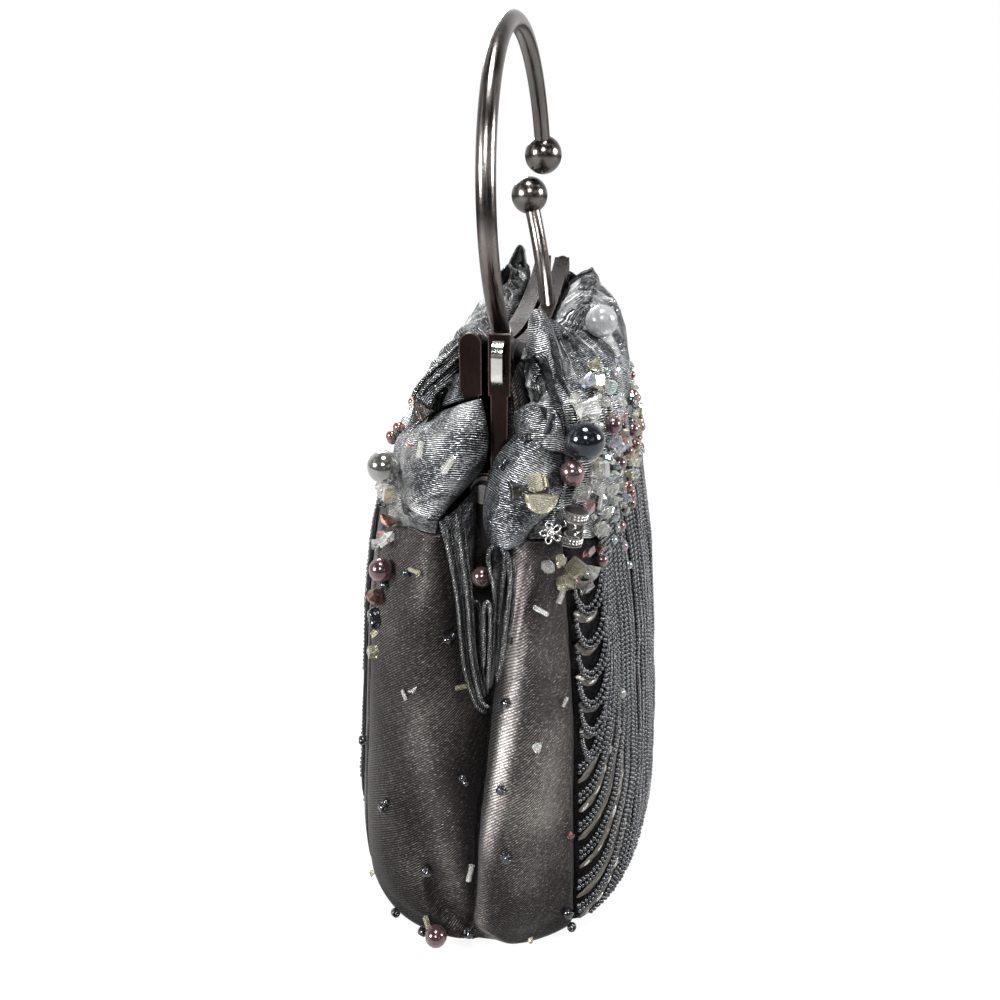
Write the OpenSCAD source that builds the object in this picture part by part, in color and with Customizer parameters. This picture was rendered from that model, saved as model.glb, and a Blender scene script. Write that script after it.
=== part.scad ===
// Evening clutch: a soft satin bag on a two-half metal purse frame. The handle is an open hoop in
// two arcs, one on each frame half, and its two ball ends snap past each other to keep it shut.
// Millimetres. +Z up, X along the frame, -Y the front. Origin: centre of the flat base.

/* [Bag] */
// Length of the bag where it is fullest
body_l = 176; // [166:1:190]
// Depth of the bag where it is fullest, without beads
body_w = 90; // [84:1:100]
// Height of the lower bag's rim
rim_h = 119; // [110:1:120]
// Exponent of the rounded plan outline
squareness = 2.5; // [2.3:0.1:2.8]
// Angle of the seam between the satin end and the beaded panel
seam_angle = 32; // [26:1:38]
// Depth of the crease down the middle of each satin end
crease_depth = 3; // [1:0.5:4]
// Thickness of the padded satin
wall_t = 2; // [1.4:0.1:2.6]
// Thickness of the bottom panel
bottom_t = 2; // [1.4:0.1:2.6]
// Thickness of the stiffening board
board_t = 1.6; // [1.2:0.1:2.4]
// Thickness of the lining
lining_t = 0.8; // [0.6:0.1:1.2]
// Thickness of the sewn bead field
field_t = 1.8; // [1.2:0.1:2.4]

/* [Frame] */
// Length of the frame from tip to tip
frame_l = 135; // [128:1:138]
// Height of the frame's tips above the hinge axis
frame_rise = 38; // [34:1:44]
// How far the middle of the bars dips below the tips
bar_dip = 12; // [8:1:14]
// Width of each bar
bar_w = 5.2; // [5:0.1:6]
// Gap between the two closed bars
bar_gap = 1.6; // [1.4:0.1:2]
// Height of a bar's outer flange
flange_h = 8; // [7:0.5:9]
// Height of a bar's inner flange
inner_flange_h = 4; // [3:0.5:5]
// Thickness of the frame's sheet metal
sheet_t = 1.2; // [1:0.1:1.4]
// Height of the end plates
plate_h = 14.5; // [12:0.5:17]
// Width of the arms below the end plates
arm_w = 4; // [3.4:0.1:4.6]
// Height of the hinge axis above the lower bag's rim
hinge_lift = 8; // [6:0.5:10]

/* [Hinge] */
// Diameter of the hinge eyes
eye_d = 8; // [7:0.5:9]
// Diameter of the rivet's shank
rivet_d = 2.8; // [2.4:0.1:3.2]
// Diameter of the rivet's heads
rivet_head_d = 5; // [4.4:0.1:5.6]
// Thickness of the rivet's heads
rivet_head_t = 1; // [0.8:0.1:1.2]
// Thickness of the spacing washer
washer_t = 1.6; // [1.2:0.1:1.8]
// Diameter of the spacing washer
washer_d = 6.6; // [6:0.1:7]
// Thickness of the strap that ties the hinge to the bag
strap_t = 1; // [0.8:0.1:1.2]
// Width of the strap
strap_w = 6; // [5:0.5:7]

/* [Handle] */
// Diameter of the handle's rod
rod_d = 5; // [4.4:0.1:5.2]
// Radius of the hoop at the rod's centre
hoop_r = 45; // [42:0.5:48]
// Distance between the feet of the two arcs
leg_span = 58; // [52:1:64]
// Diameter of the ball ends
ball_d = 12; // [11:0.2:13]
// Angle on the hoop where the long arc meets its ball
long_end_angle = 20; // [16:1:26]
// Lean of the long arc towards the back
long_lean = 2.1; // [1:0.1:3]
// Turn of the long arc's plane about its foot
long_turn = 1.7; // [1:0.1:2.5]
// Lean of the short arc towards the back
short_lean = 15; // [13:0.5:17]
// Diameter of the ferrules at the feet
collar_d = 5.4; // [5.3:0.1:5.6]

/* [Chain loops] */
// Height of a chain loop
loop_h = 11; // [9:0.5:12]
// How far a chain loop stands off its plate
loop_out = 3.6; // [3:0.2:4.4]
// Width of the loop's flat band
loop_w = 2.6; // [2:0.2:3.4]
// Thickness of the loop's flat band
loop_t = 1; // [0.8:0.1:1.2]

/* [Yokes and ruffles] */
// How far each end of a yoke stands inside the frame's tip
yoke_in = 5.5; // [5:0.5:8]
// Depth of each yoke at its fullest
yoke_w = 21.5; // [20:0.5:22.5]
// Thickness of the yoke cloth
yoke_t = 1.2; // [0.9:0.1:1.4]
// How far the ribbon ruffles stand out past the frame's tips
ruffle_past = 10; // [8.5:0.5:11.5]
// Depth of each ruffle at its fullest
ruffle_w = 31; // [29:0.5:32]
// Height of the ruffle's lower edge above the hinge axis
ruffle_lift = 2; // [1:0.5:4]
// Height of a ruffle
ruffle_h = 29; // [26:1:31]

/* [Beads] */
// Diameter of the large pearls
pearl_d = 9.4; // [8:0.2:10]
// Diameter of the small pearls
small_pearl_d = 5.8; // [5:0.2:6.4]
// Diameter of the crystals
crystal_d = 4.4; // [3.6:0.2:5]
// Diameter of the seed beads
seed_d = 2.2; // [1.6:0.2:2.8]
// Diameter of the frosted drop bead
frost_d = 9; // [8:0.5:10]
// Length of the filigree tube bead
tube_l = 9; // [7:0.5:10]
// Diameter of the filigree tube bead
tube_d = 5; // [4:0.2:5.6]
// Width of the ribbon tail in the crease
tail_w = 13; // [10:0.5:15]
// Thickness of the ribbon tail
tail_t = 2; // [1.4:0.1:2.6]

/* [Hidden] */

// Clearances
soft_gap = 0.3;
field_gap = soft_gap*2;
metal_gap = 0.3;
run_gap = 0.06;
tight_gap = 0.02;
pass_gap = 0.35;
overrun = 5;

// Counts
fine = 96;
small = 48;
half_steps = 26;
end_steps = 12;
swag_steps = 12;

// Rows of the lower bag, as shares of its height, length, depth and crease
bag_z_shares = [0, 0.025, 0.11, 0.25, 0.43, 0.66, 0.86, 1];
bag_l_shares = [1, 1.028, 1.038, 1.02, 1, 0.972, 0.94, 0.915];
bag_w_shares = [0.955, 1.005, 1.022, 1.018, 0.985, 0.93, 0.855, 0.775];
bag_crease_shares = [0, 0.2, 0.6, 1, 1, 1, 0.9, 0.6];
crease_spread = 9;

// Rows of a yoke, as shares of its height, length and depth, and the places of its ends
yoke_z_shares = [0, 0.18, 0.34, 0.55, 0.7, 1];
yoke_l_shares = [0.935, 0.985, 1, 1, 1, 1];
yoke_w_shares = [1, 1, 0.96, 0.6, 0.2, 0.2];
yoke_end_shares = [0.5, 0.3, 0.2, 0.2, 0.2, 0.2];

// Rows of a ruffle, as shares of its height, length and depth: outer face in front, outer face behind, inner face
ruffle_z_shares = [0, 0.24, 0.38, 0.42, 0.6, 0.78, 1];
ruffle_l_shares = [1, 1, 0.975, 0.995, 0.975, 0.94, 0.9];
ruffle_w_shares = [1, 1, 0.9, 0.95, 0.91, 0.82, 0.5];
ruffle_back_w_shares = [1, 1, 0.88, 0.88, 0.7, 0.52, 0.4];
ruffle_end_shares = [0.02, 0.02, 0.1, 0.12, 0.21, 0.2, 0.2];
ruffle_in_l_shares = [0.935, 0.93, 0.92, 0.91, 0.9, 0.88, 0.86];
ruffle_in_w_shares = [0.78, 0.72, 0.6, 0.56, 0.4, 0.2, 0.2];

// The hinge axis and the frame's tips stand on the bag's rim
hinge_h = rim_h+hinge_lift;
frame_h = hinge_h+frame_rise;

// The arc of the bars
bar_r = (pow(frame_l/2, 2)+pow(bar_dip, 2))/(2*bar_dip);
bar_z = frame_h-bar_dip+bar_r;
bar_in = bar_gap/2;
bar_out = bar_gap/2+bar_w;
frame_end = frame_l/2;
plate_low = frame_h-plate_h;
arm_mid = (bar_in+bar_out)/2;
eye_in = frame_end-sheet_t-metal_gap;

// The yokes and ruffles follow the frame's length
yoke_l = frame_l-2*yoke_in;
ruffle_l = frame_l+2*ruffle_past;

// The hinge, from the eyes outwards
washer_x = frame_end+metal_gap/2;
strap_x = washer_x+washer_t+metal_gap/2;
rivet_x = strap_x+strap_t;
rivet_in = eye_in-sheet_t-metal_gap;
strap_low = hinge_h-eye_d*2.6;

// The hoop's shape and where its arcs stand
leg_x = leg_span/2;
leg_z = bar_top(leg_x);
hoop_rise = sqrt(hoop_r*hoop_r-leg_x*leg_x);
foot_angle = atan(hoop_rise/leg_x);
long_foot_y = bar_in+rod_d*0.24;
short_foot_y = -(bar_in+rod_d*0.36);
ball_cut = sqrt(pow(ball_d/2, 2)-pow(rod_d/2, 2));
ball_reach = sqrt(hoop_r*hoop_r+ball_cut*ball_cut);
ball_turn = atan(ball_cut/hoop_r);
upper_rise = hoop_rise+ball_reach*sin(long_end_angle-ball_turn);
upper_x = ball_reach*cos(long_end_angle-ball_turn);
upper_y = long_foot_y+upper_rise*sin(long_lean)-(upper_x+leg_x)*sin(long_turn);
upper_z = leg_z+upper_rise*cos(long_lean)-hinge_h;
lower_reach = sqrt(upper_y*upper_y+upper_z*upper_z)-ball_d-pass_gap;
lower_half = short_foot_y*sin(short_lean)+(leg_z-hinge_h)*cos(short_lean);
lower_rest = short_foot_y*short_foot_y+pow(leg_z-hinge_h, 2)-lower_reach*lower_reach;
lower_rise = -lower_half+sqrt(lower_half*lower_half-lower_rest);
short_end_angle = asin((lower_rise-hoop_rise)/ball_reach)-ball_turn;

// Strands of the bead field, from the seam to the middle of the panel. Each has the place of its lower end, as
// shares of the turn from seam to middle and of the height, then the shares by which it swings on and climbs
swag_shares = [
    [0, 0.53, 0, 0.25], [0, 0.454, 0.24, 0.285], [0, 0.38, 0.28, 0.277], [0, 0.303, 0.31, 0.277],
    [0, 0.227, 0.36, 0.285], [0, 0.151, 0.41, 0.3], [0, 0.084, 0.47, 0.32], [0.09, 0.036, 0.43, 0.353],
    [0.21, 0.036, 0.38, 0.387], [0.33, 0.036, 0.33, 0.42], [0.46, 0.036, 0.26, 0.454], [0.59, 0.036, 0.19, 0.487],
    [0.72, 0.036, 0.12, 0.52], [0.86, 0.036, 0.05, 0.55], [1, 0.036, 0, 0.58]
];
bend_share = 0.64;
field_top_share = 0.97;
valley_share = 0.35;
// Places of the sewn beads on the near satin end: turn from the end, height share, size share
satin_spot_shares = [
    [-24, 0.93, 1], [-17, 0.6, 1], [-30, 0.42, 0.9], [-14, 0.3, 1], [-26, 0.2, 0.9], [-9, 0.12, 1],
    [16, 0.8, 1], [20, 0.63, 0.9], [24, 0.45, 1], [14, 0.28, 0.9], [22, 0.14, 1]
];
// Places of the pearls and crystals on a ruffle: turn from its end, height share, size share
front_pearl_shares = [[38, 0.44, 1]];
front_small_shares = [[27, 0.24, 1], [148, 0.46, 1]];
front_crystal_shares = [
    [30, 0.62, 1], [46, 0.62, 0.8], [52, 0.52, 1], [64, 0.6, 0.8], [120, 0.52, 1], [104, 0.6, 1]
];
back_pearl_shares = [[38, 0.46, 0.86]];
back_small_shares = [[25, 0.27, 1], [148, 0.46, 1]];
back_crystal_shares = [[30, 0.62, 1], [50, 0.6, 0.8], [60, 0.52, 1], [120, 0.52, 1], [90, 0.6, 1]];
filigree_shares = [14, 0.1];
frosted_shares = [81, 0.88];
filigree_turn = 30;

function side(a) = a < 0 ? -1 : 1;
function flat(a) = side(a)*pow(abs(a), 2/squareness);
function bar_top(x) = bar_z-sqrt(bar_r*bar_r-x*x);
function row(shares, values, s) = lookup(s, [for (i = [0:len(shares)-1]) [shares[i], values[i]]]);
function turned(u) = min(abs(u-180), min(abs(u), abs(u-360)));

// A point of the lower bag's wall: turn u, height share s, distance out of the satin's face
function bag_point(u, s, out) =
    let (a = body_l/2*row(bag_z_shares, bag_l_shares, s)+out)
    let (b = body_w/2*row(bag_z_shares, bag_w_shares, s)+out)
    let (c = crease_depth*row(bag_z_shares, bag_crease_shares, s)*exp(-pow(turned(u)/crease_spread, 2)))
    [(a-c)*flat(cos(u)), b*flat(sin(u)), rim_h*s];

// A point of the front bead field: strand k, doubled and mirrored past the middle, from its end (t 0) to the top
function swag(k) = (swag_shares[floor(k/2)]+swag_shares[ceil(k/2)])/2;
function swag_point(k, t, out) =
    let (middle = 2*(len(swag_shares)-1))
    let (q = swag(k > middle ? 2*middle-k : k))
    let (arc = 90*min(t/bend_share, 1))
    let (rest = max(t-bend_share, 0)/(1-bend_share))
    let (past = (90-seam_angle)*(q[0]+q[2]*sin(arc)))
    let (s = q[1]+q[3]*(1-cos(arc)))
    bag_point(k > middle ? 360-seam_angle-past : 180+seam_angle+past, s+(field_top_share-s)*rest, out);

// The outward direction at a point of the lower bag
function bag_out(u, s) =
    let (d = bag_point(u+1, s, 0)-bag_point(u-1, s, 0))
    let (e = bag_point(u, s+0.02, 0)-bag_point(u, s-0.02, 0))
    let (n = cross(d, e))
    n/norm(n);

// A point of the front yoke: turn u from 0 to 180, row i, distance into the cloth
function yoke_low() = hinge_h-eye_d*1.75;
function yoke_point(u, i, in) =
    let (a = yoke_l/2*yoke_l_shares[i])
    let (e = yoke_w*yoke_end_shares[i]-in)
    let (b = yoke_w*yoke_w_shares[i]-in)
    let (x = a*flat(cos(u)))
    let (top = bar_top(x)-sheet_t-soft_gap)
    [x, -(e+(b-e)*flat(sin(u))), yoke_low()+(top-yoke_low())*yoke_z_shares[i]];

// A point of a ruffle as it stands in front: turn u from 0 to 180, height share s, depth shares of the face
ruffle_low = hinge_h+ruffle_lift;
function ruffle_point(u, s, face) =
    let (inner = face == ruffle_in_w_shares)
    let (a = ruffle_l/2*row(ruffle_z_shares, inner ? ruffle_in_l_shares : ruffle_l_shares, s))
    let (b = ruffle_w*row(ruffle_z_shares, face, s))
    let (e = max(ruffle_w*row(ruffle_z_shares, ruffle_end_shares, s), s > 0.5 ? bar_out+soft_gap : 0))
    let (f = inner ? max(b, e) : b)
    let (g = inner ? e : e+soft_gap)
    [a*flat(cos(u)), -(g+(f-g)*flat(sin(u))), ruffle_low+ruffle_h*s];

function ruffle_out(u, s, face) =
    let (d = ruffle_point(u+1, s, face)-ruffle_point(u-1, s, face))
    let (e = ruffle_point(u, s+0.02, face)-ruffle_point(u, s-0.02, face))
    let (n = cross(e, d))
    n/norm(n);

// A closed slab between an outer and an inner grid of points, rows by steps
module slab(outer, inner) {
    m = len(outer);
    k = len(outer[0]);
    t = m*k;
    points = concat([for (r = outer) for (p = r) p], [for (r = inner) for (p = r) p]);
    faces = concat(
        [for (i = [0:m-2]) for (j = [0:k-2]) each [[i*k+j, (i+1)*k+j+1, i*k+j+1], [i*k+j, (i+1)*k+j, (i+1)*k+j+1]]],
        [for (i = [0:m-2]) for (j = [0:k-2])
            each [[t+i*k+j, t+i*k+j+1, t+(i+1)*k+j+1], [t+i*k+j, t+(i+1)*k+j+1, t+(i+1)*k+j]]],
        [for (j = [0:k-2]) each [[j, j+1, t+j+1], [j, t+j+1, t+j]]],
        [for (j = [0:k-2]) let (q = (m-1)*k+j) each [[q, t+q+1, q+1], [q, t+q, t+q+1]]],
        [for (i = [0:m-2]) let (q = i*k) each [[q, t+q, t+q+k], [q, t+q+k, q+k]]],
        [for (i = [0:m-2]) let (q = i*k+k-1) each [[q, t+q+k, t+q], [q, q+k, t+q+k]]]
    );
    polyhedron(points = points, faces = faces, convexity = 8);
}

// A closed ring of cloth with no ends
module sleeve(outer, inner) {
    m = len(outer);
    k = len(outer[0]);
    t = m*k;
    points = concat([for (r = outer) for (p = r) p], [for (r = inner) for (p = r) p]);
    faces = concat(
        [for (i = [0:m-2]) for (j = [0:k-1]) let (n = (j+1)%k)
            each [[i*k+j, (i+1)*k+n, i*k+n], [i*k+j, (i+1)*k+j, (i+1)*k+n]]],
        [for (i = [0:m-2]) for (j = [0:k-1]) let (n = (j+1)%k)
            each [[t+i*k+j, t+i*k+n, t+(i+1)*k+n], [t+i*k+j, t+(i+1)*k+n, t+(i+1)*k+j]]],
        [for (j = [0:k-1]) let (n = (j+1)%k) each [[j, n, t+n], [j, t+n, t+j]]],
        [for (j = [0:k-1]) let (n = (j+1)%k) let (q = (m-1)*k) each [[q+j, t+q+n, q+n], [q+j, t+q+j, t+q+n]]]
    );
    polyhedron(points = points, faces = faces, convexity = 8);
}

module wall_piece(from, to, steps, s_low, s_high, near, far) {
    rows = concat([s_low], [for (s = bag_z_shares) if (s > s_low+0.01 && s < s_high-0.01) s], [s_high]);
    turns = [for (j = [0:steps]) from+(to-from)*j/steps];
    slab([for (s = rows) [for (u = turns) bag_point(u, s, far)]],
         [for (s = rows) [for (u = turns) bag_point(u, s, near)]]);
}

module front_panel() {
    color([0.2, 0.19, 0.2]) wall_piece(180+seam_angle, 360-seam_angle, half_steps, 0, 1, -wall_t, 0);
}

module back_panel() {
    color([0.2, 0.19, 0.2]) wall_piece(seam_angle, 180-seam_angle, half_steps, 0, 1, -wall_t, 0);
}

module gusset_near() {
    color([0.27, 0.25, 0.26]) wall_piece(180-seam_angle, 180+seam_angle, end_steps, 0, 1, -wall_t, 0);
}

module gusset_far() {
    color([0.27, 0.25, 0.26]) wall_piece(-seam_angle, seam_angle, end_steps, 0, 1, -wall_t, 0);
}

module floor_shape(in) {
    polygon([for (j = [0:2*half_steps-1]) let (p = bag_point(180*j/half_steps, 0, -in)) [p[0], p[1]]]);
}

module bottom_panel() {
    color([0.16, 0.15, 0.16]) linear_extrude(bottom_t) floor_shape(wall_t+soft_gap);
}

module base_board() {
    color([0.35, 0.3, 0.26]) translate([0, 0, bottom_t]) linear_extrude(board_t)
        floor_shape(wall_t+soft_gap*2+lining_t);
}

module lining() {
    in = wall_t+soft_gap;
    low = (bottom_t+board_t+soft_gap)/rim_h;
    high = 1-soft_gap/rim_h;
    rows = concat([low], [for (s = bag_z_shares) if (s > low+0.01 && s < high-0.01) s], [high]);
    turns = [for (j = [0:2*half_steps-1]) 180*j/half_steps];
    color([0.12, 0.11, 0.12]) sleeve(
        [for (s = rows) [for (u = turns) bag_point(u, s, -in)]],
        [for (s = rows) [for (u = turns) bag_point(u, s, -in-lining_t)]]);
}

// The bead field is a grid laid along the strands: a ridge on each strand, a valley between two
module bead_field(turn) {
    last = 4*(len(swag_shares)-1);
    steps = [for (i = [0:swag_steps]) i/swag_steps];
    rotate([0, 0, turn]) color([0.3, 0.32, 0.36]) slab(
        [for (t = steps) [for (k = [0:last]) swag_point(k, t, field_gap+field_t*(k%2 == 0 ? 1 : valley_share))]],
        [for (t = steps) [for (k = [0:last]) swag_point(k, t, field_gap)]]);
}

module front_bead_field() {
    bead_field(0);
}

module back_bead_field() {
    bead_field(180);
}

module ribbon_tail() {
    spread = asin(pow(tail_w/body_w, squareness/2));
    color([0.6, 0.64, 0.7])
        wall_piece(180-spread, 180+spread, end_steps, 0.63, 0.985, soft_gap, soft_gap+tail_t);
}

module satin_beads() {
    color([0.08, 0.08, 0.09]) for (q = satin_spot_shares) {
        r = seed_d*q[2]/2;
        translate(bag_point(180+q[0], q[1], 0)+bag_out(180+q[0], q[1])*(r+soft_gap))
            sphere(r = r, $fn = small);
    }
}

// A plain disc across the hinge axis, on the -X side, from x inwards
module disc_x(x, d, t) {
    translate([-x, 0, hinge_h]) rotate([0, 90, 0]) cylinder(d = d, h = t, $fn = fine);
}

module hinge_strap() {
    s = (strap_low+strap_t/2)/rim_h;
    wall = -bag_point(180, s, -wall_t-soft_gap*2-lining_t)[0];
    difference() {
        union() {
            translate([-rivet_x, -strap_w/2, strap_low]) cube([strap_t, strap_w, hinge_h-strap_low]);
            disc_x(rivet_x, strap_w, strap_t);
            translate([-wall, -strap_w/2, strap_low]) cube([wall-rivet_x+strap_t/2, strap_w, strap_t]);
        }
        disc_x(rivet_x+overrun, rivet_d+2*tight_gap, strap_t+2*overrun);
    }
}

module hinge_washer() {
    difference() {
        disc_x(washer_x+washer_t, washer_d, washer_t);
        disc_x(washer_x+washer_t+overrun, rivet_d+2*tight_gap, washer_t+2*overrun);
    }
}

module hinge_rivet() {
    disc_x(rivet_x+rivet_head_t, rivet_head_d, rivet_head_t);
    disc_x(rivet_x+rivet_head_t/2, rivet_d, rivet_x-rivet_in+rivet_head_t);
    disc_x(rivet_in, rivet_head_d, rivet_head_t);
}

module hinge_strap_near() {
    color([0.3, 0.28, 0.27]) hinge_strap();
}

module hinge_strap_far() {
    color([0.3, 0.28, 0.27]) rotate([0, 0, 180]) hinge_strap();
}

module hinge_washer_near() {
    color([0.85, 0.83, 0.78]) hinge_washer();
}

module hinge_washer_far() {
    color([0.85, 0.83, 0.78]) rotate([0, 0, 180]) hinge_washer();
}

module hinge_rivet_near() {
    color([0.4, 0.38, 0.37]) hinge_rivet();
}

module hinge_rivet_far() {
    color([0.4, 0.38, 0.37]) rotate([0, 0, 180]) hinge_rivet();
}

// The channel bar along its arc, open below
module bar() {
    reach = asin((frame_end+flange_h)/bar_r);
    intersection() {
        translate([0, 0, bar_z]) rotate([90, 0, 0]) rotate([0, 0, 270-reach])
            rotate_extrude(angle = 2*reach, $fn = fine*8) {
                translate([bar_r, bar_in]) square([sheet_t, bar_w]);
                translate([bar_r, bar_in]) square([inner_flange_h, sheet_t]);
                translate([bar_r, bar_out-sheet_t]) square([flange_h, sheet_t]);
            }
        translate([-frame_end+sheet_t, -bar_out-overrun, frame_h-bar_dip-flange_h-overrun])
            cube([frame_l-2*sheet_t, bar_w+2*overrun, bar_dip+flange_h+2*overrun]);
    }
}

// One half of the frame, as the front half: outer eye at -X, inner eye at +X
module frame_half() {
    arm_in = arm_mid-arm_w/2;
    jog = eye_d/2+sheet_t;
    far_in = eye_in-sheet_t;
    difference() {
        union() {
            bar();
            translate([-frame_end, -bar_out, plate_low]) cube([sheet_t, bar_w, plate_h]);
            translate([frame_end-sheet_t, -bar_out, plate_low]) cube([sheet_t, bar_w, plate_h-bar_w/2]);
            translate([frame_end-sheet_t, -arm_mid, frame_h-bar_w/2]) rotate([0, 90, 0])
                cylinder(d = bar_w, h = sheet_t, $fn = fine);
            translate([-frame_end, -arm_mid-arm_w/2, hinge_h]) cube([sheet_t, arm_w, plate_low-hinge_h]);
            disc_x(frame_end, eye_d, sheet_t);
            translate([frame_end-sheet_t, -arm_mid-arm_w/2, hinge_h+jog])
                cube([sheet_t, arm_w, plate_low-hinge_h-jog]);
            translate([far_in, -arm_mid-arm_w/2, hinge_h+jog])
                cube([frame_end-far_in, arm_w, sheet_t*1.5]);
            translate([far_in, -arm_mid-arm_w/2, hinge_h]) cube([sheet_t, arm_w, jog+sheet_t]);
            rotate([0, 0, 180]) disc_x(eye_in, eye_d, sheet_t);
        }
        disc_x(frame_end+overrun, rivet_d+2*run_gap, frame_l+2*overrun);
    }
}

module front_frame() {
    color([0.36, 0.33, 0.32]) frame_half();
}

module back_frame() {
    color([0.36, 0.33, 0.32]) rotate([0, 0, 180]) frame_half();
}

// Sets a shape drawn in the hoop's own plane onto the foot of the long arc or the short arc
module long_plane() {
    translate([-leg_x, long_foot_y, leg_z]) rotate([-long_lean, 0, -long_turn])
        translate([leg_x, 0, hoop_rise]) children();
}

module short_plane() {
    translate([leg_x, short_foot_y, leg_z]) rotate([-short_lean, 0, 0])
        translate([-leg_x, 0, hoop_rise]) children();
}

module hoop_arc(from, to) {
    rotate([90, 0, 0]) rotate([0, 0, from]) rotate_extrude(angle = to-from, $fn = fine*2)
        translate([hoop_r, 0]) circle(d = rod_d, $fn = fine);
}

// A ball with a flat where the rod's end meets it; away is 1 or -1 round the hoop
module hoop_ball(angle, away) {
    translate([hoop_r*cos(angle), 0, hoop_r*sin(angle)]) rotate([0, -angle, 0])
        translate([0, 0, away*ball_cut]) difference() {
            sphere(d = ball_d, $fn = fine);
            translate([-ball_d, -ball_d, away > 0 ? -ball_cut-ball_d : ball_cut])
                cube([ball_d*2, ball_d*2, ball_d]);
        }
}

// The foot of an arc at place x is cut where the bar's top passes under it
module above_bar(x) {
    slope = asin(x/bar_r);
    difference() {
        children();
        translate([x, 0, bar_top(x)+run_gap]) rotate([0, -slope, 0])
            translate([-leg_x/2, -bar_out*2, -bar_out*4]) cube([leg_x, bar_out*4, bar_out*4]);
    }
}

foot_lift = rod_d*0.9;
foot_turn = 180*foot_lift/(PI*hoop_r);

module handle_long_arc() {
    color([0.38, 0.35, 0.34]) long_plane() hoop_arc(long_end_angle, 180+foot_angle-foot_turn);
}

module handle_short_arc() {
    color([0.38, 0.35, 0.34]) short_plane() hoop_arc(-foot_angle+foot_turn, short_end_angle);
}

module handle_upper_ball() {
    color([0.42, 0.4, 0.4]) long_plane() hoop_ball(long_end_angle, -1);
}

module handle_lower_ball() {
    color([0.42, 0.4, 0.4]) short_plane() hoop_ball(short_end_angle, 1);
}

// The ferrule that takes an arc's end down onto the bar; away is 1 or -1 round the hoop
module ferrule(angle, away) {
    translate([hoop_r*cos(angle), 0, hoop_r*sin(angle)]) rotate([0, -angle, 0])
        translate([0, 0, away > 0 ? 0 : -4*foot_lift]) cylinder(d = collar_d, h = 4*foot_lift, $fn = fine);
}

module handle_collar_back() {
    color([0.5, 0.48, 0.46]) above_bar(-leg_x) long_plane() ferrule(180+foot_angle-foot_turn, 1);
}

module handle_collar_front() {
    color([0.5, 0.48, 0.46]) above_bar(leg_x) short_plane() ferrule(-foot_angle+foot_turn, -1);
}

// An oval loop for a chain, its two ends butted against the near end plate
module chain_loop() {
    bend = loop_out;
    straight = loop_h/2-bend;
    mid = plate_low+plate_h-sheet_t-loop_h/2;
    intersection() {
        translate([-frame_end, -arm_mid+loop_w/2, mid]) rotate([90, 0, 0]) linear_extrude(loop_w)
            difference() {
                union() {
                    for (s = [-1, 1]) translate([0, s*straight]) circle(r = bend, $fn = fine);
                    translate([-bend, -straight]) square([2*bend, 2*straight]);
                }
                for (s = [-1, 1]) translate([0, s*straight]) circle(r = bend-loop_t, $fn = fine);
                translate([-bend+loop_t, -straight]) square([2*(bend-loop_t), 2*straight]);
            }
        translate([-frame_end-2*loop_out, -bar_out, mid-loop_h]) cube([2*loop_out, bar_out, 2*loop_h]);
    }
}

module chain_loop_near() {
    color([0.75, 0.75, 0.76]) chain_loop();
}

module chain_loop_far() {
    color([0.75, 0.75, 0.76]) rotate([0, 0, 180]) chain_loop();
}

module yoke() {
    turns = [for (j = [0:half_steps]) 180*j/half_steps];
    slab([for (i = [0:len(yoke_z_shares)-1]) [for (u = turns) yoke_point(u, i, yoke_t)]],
         [for (i = [0:len(yoke_z_shares)-1]) [for (u = turns) yoke_point(u, i, 0)]]);
}

module front_yoke() {
    color([0.2, 0.19, 0.2]) yoke();
}

module back_yoke() {
    color([0.2, 0.19, 0.2]) rotate([0, 0, 180]) yoke();
}

module ruffle(face) {
    turns = [for (j = [0:2*half_steps]) 90*j/half_steps];
    slab([for (s = ruffle_z_shares) [for (u = turns) ruffle_point(u, s, ruffle_in_w_shares)]],
         [for (s = ruffle_z_shares) [for (u = turns) ruffle_point(u, s, face)]]);
}

module front_ruffle() {
    color([0.62, 0.65, 0.7]) ruffle(ruffle_w_shares);
}

module back_ruffle() {
    color([0.62, 0.65, 0.7]) rotate([0, 0, 180]) ruffle(ruffle_back_w_shares);
}

// Balls seated on a ruffle's outer face; a turn of 0 is at the near end
module sewn(places, d, face) {
    for (q = places) {
        r = d*q[2]/2;
        translate(ruffle_point(180-q[0], q[1], face)+ruffle_out(180-q[0], q[1], face)*(r+soft_gap))
            sphere(r = r, $fn = small);
    }
}

module front_pearls() {
    color([0.45, 0.42, 0.45]) {
        sewn(front_pearl_shares, pearl_d, ruffle_w_shares);
        sewn(front_small_shares, small_pearl_d, ruffle_w_shares);
    }
}

module front_crystals() {
    color([0.85, 0.88, 0.92]) sewn(front_crystal_shares, crystal_d, ruffle_w_shares);
}

module back_pearls() {
    color([0.45, 0.42, 0.45]) mirror([0, 1, 0]) {
        sewn(back_pearl_shares, pearl_d, ruffle_back_w_shares);
        sewn(back_small_shares, small_pearl_d, ruffle_back_w_shares);
    }
}

module back_crystals() {
    color([0.85, 0.88, 0.92]) mirror([0, 1, 0]) sewn(back_crystal_shares, crystal_d, ruffle_back_w_shares);
}

module filigree_bead() {
    turn = 180-filigree_shares[0];
    share = filigree_shares[1];
    face = ruffle_w_shares;
    spot = ruffle_point(turn, share, face)+ruffle_out(turn, share, face)*(tube_d/2+soft_gap);
    color([0.72, 0.72, 0.7]) translate(spot) rotate([90, 0, filigree_turn]) difference() {
        cylinder(d = tube_d, h = tube_l, center = true, $fn = small);
        cylinder(d = tube_d/3, h = tube_l*2, center = true, $fn = small);
    }
}

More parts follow.
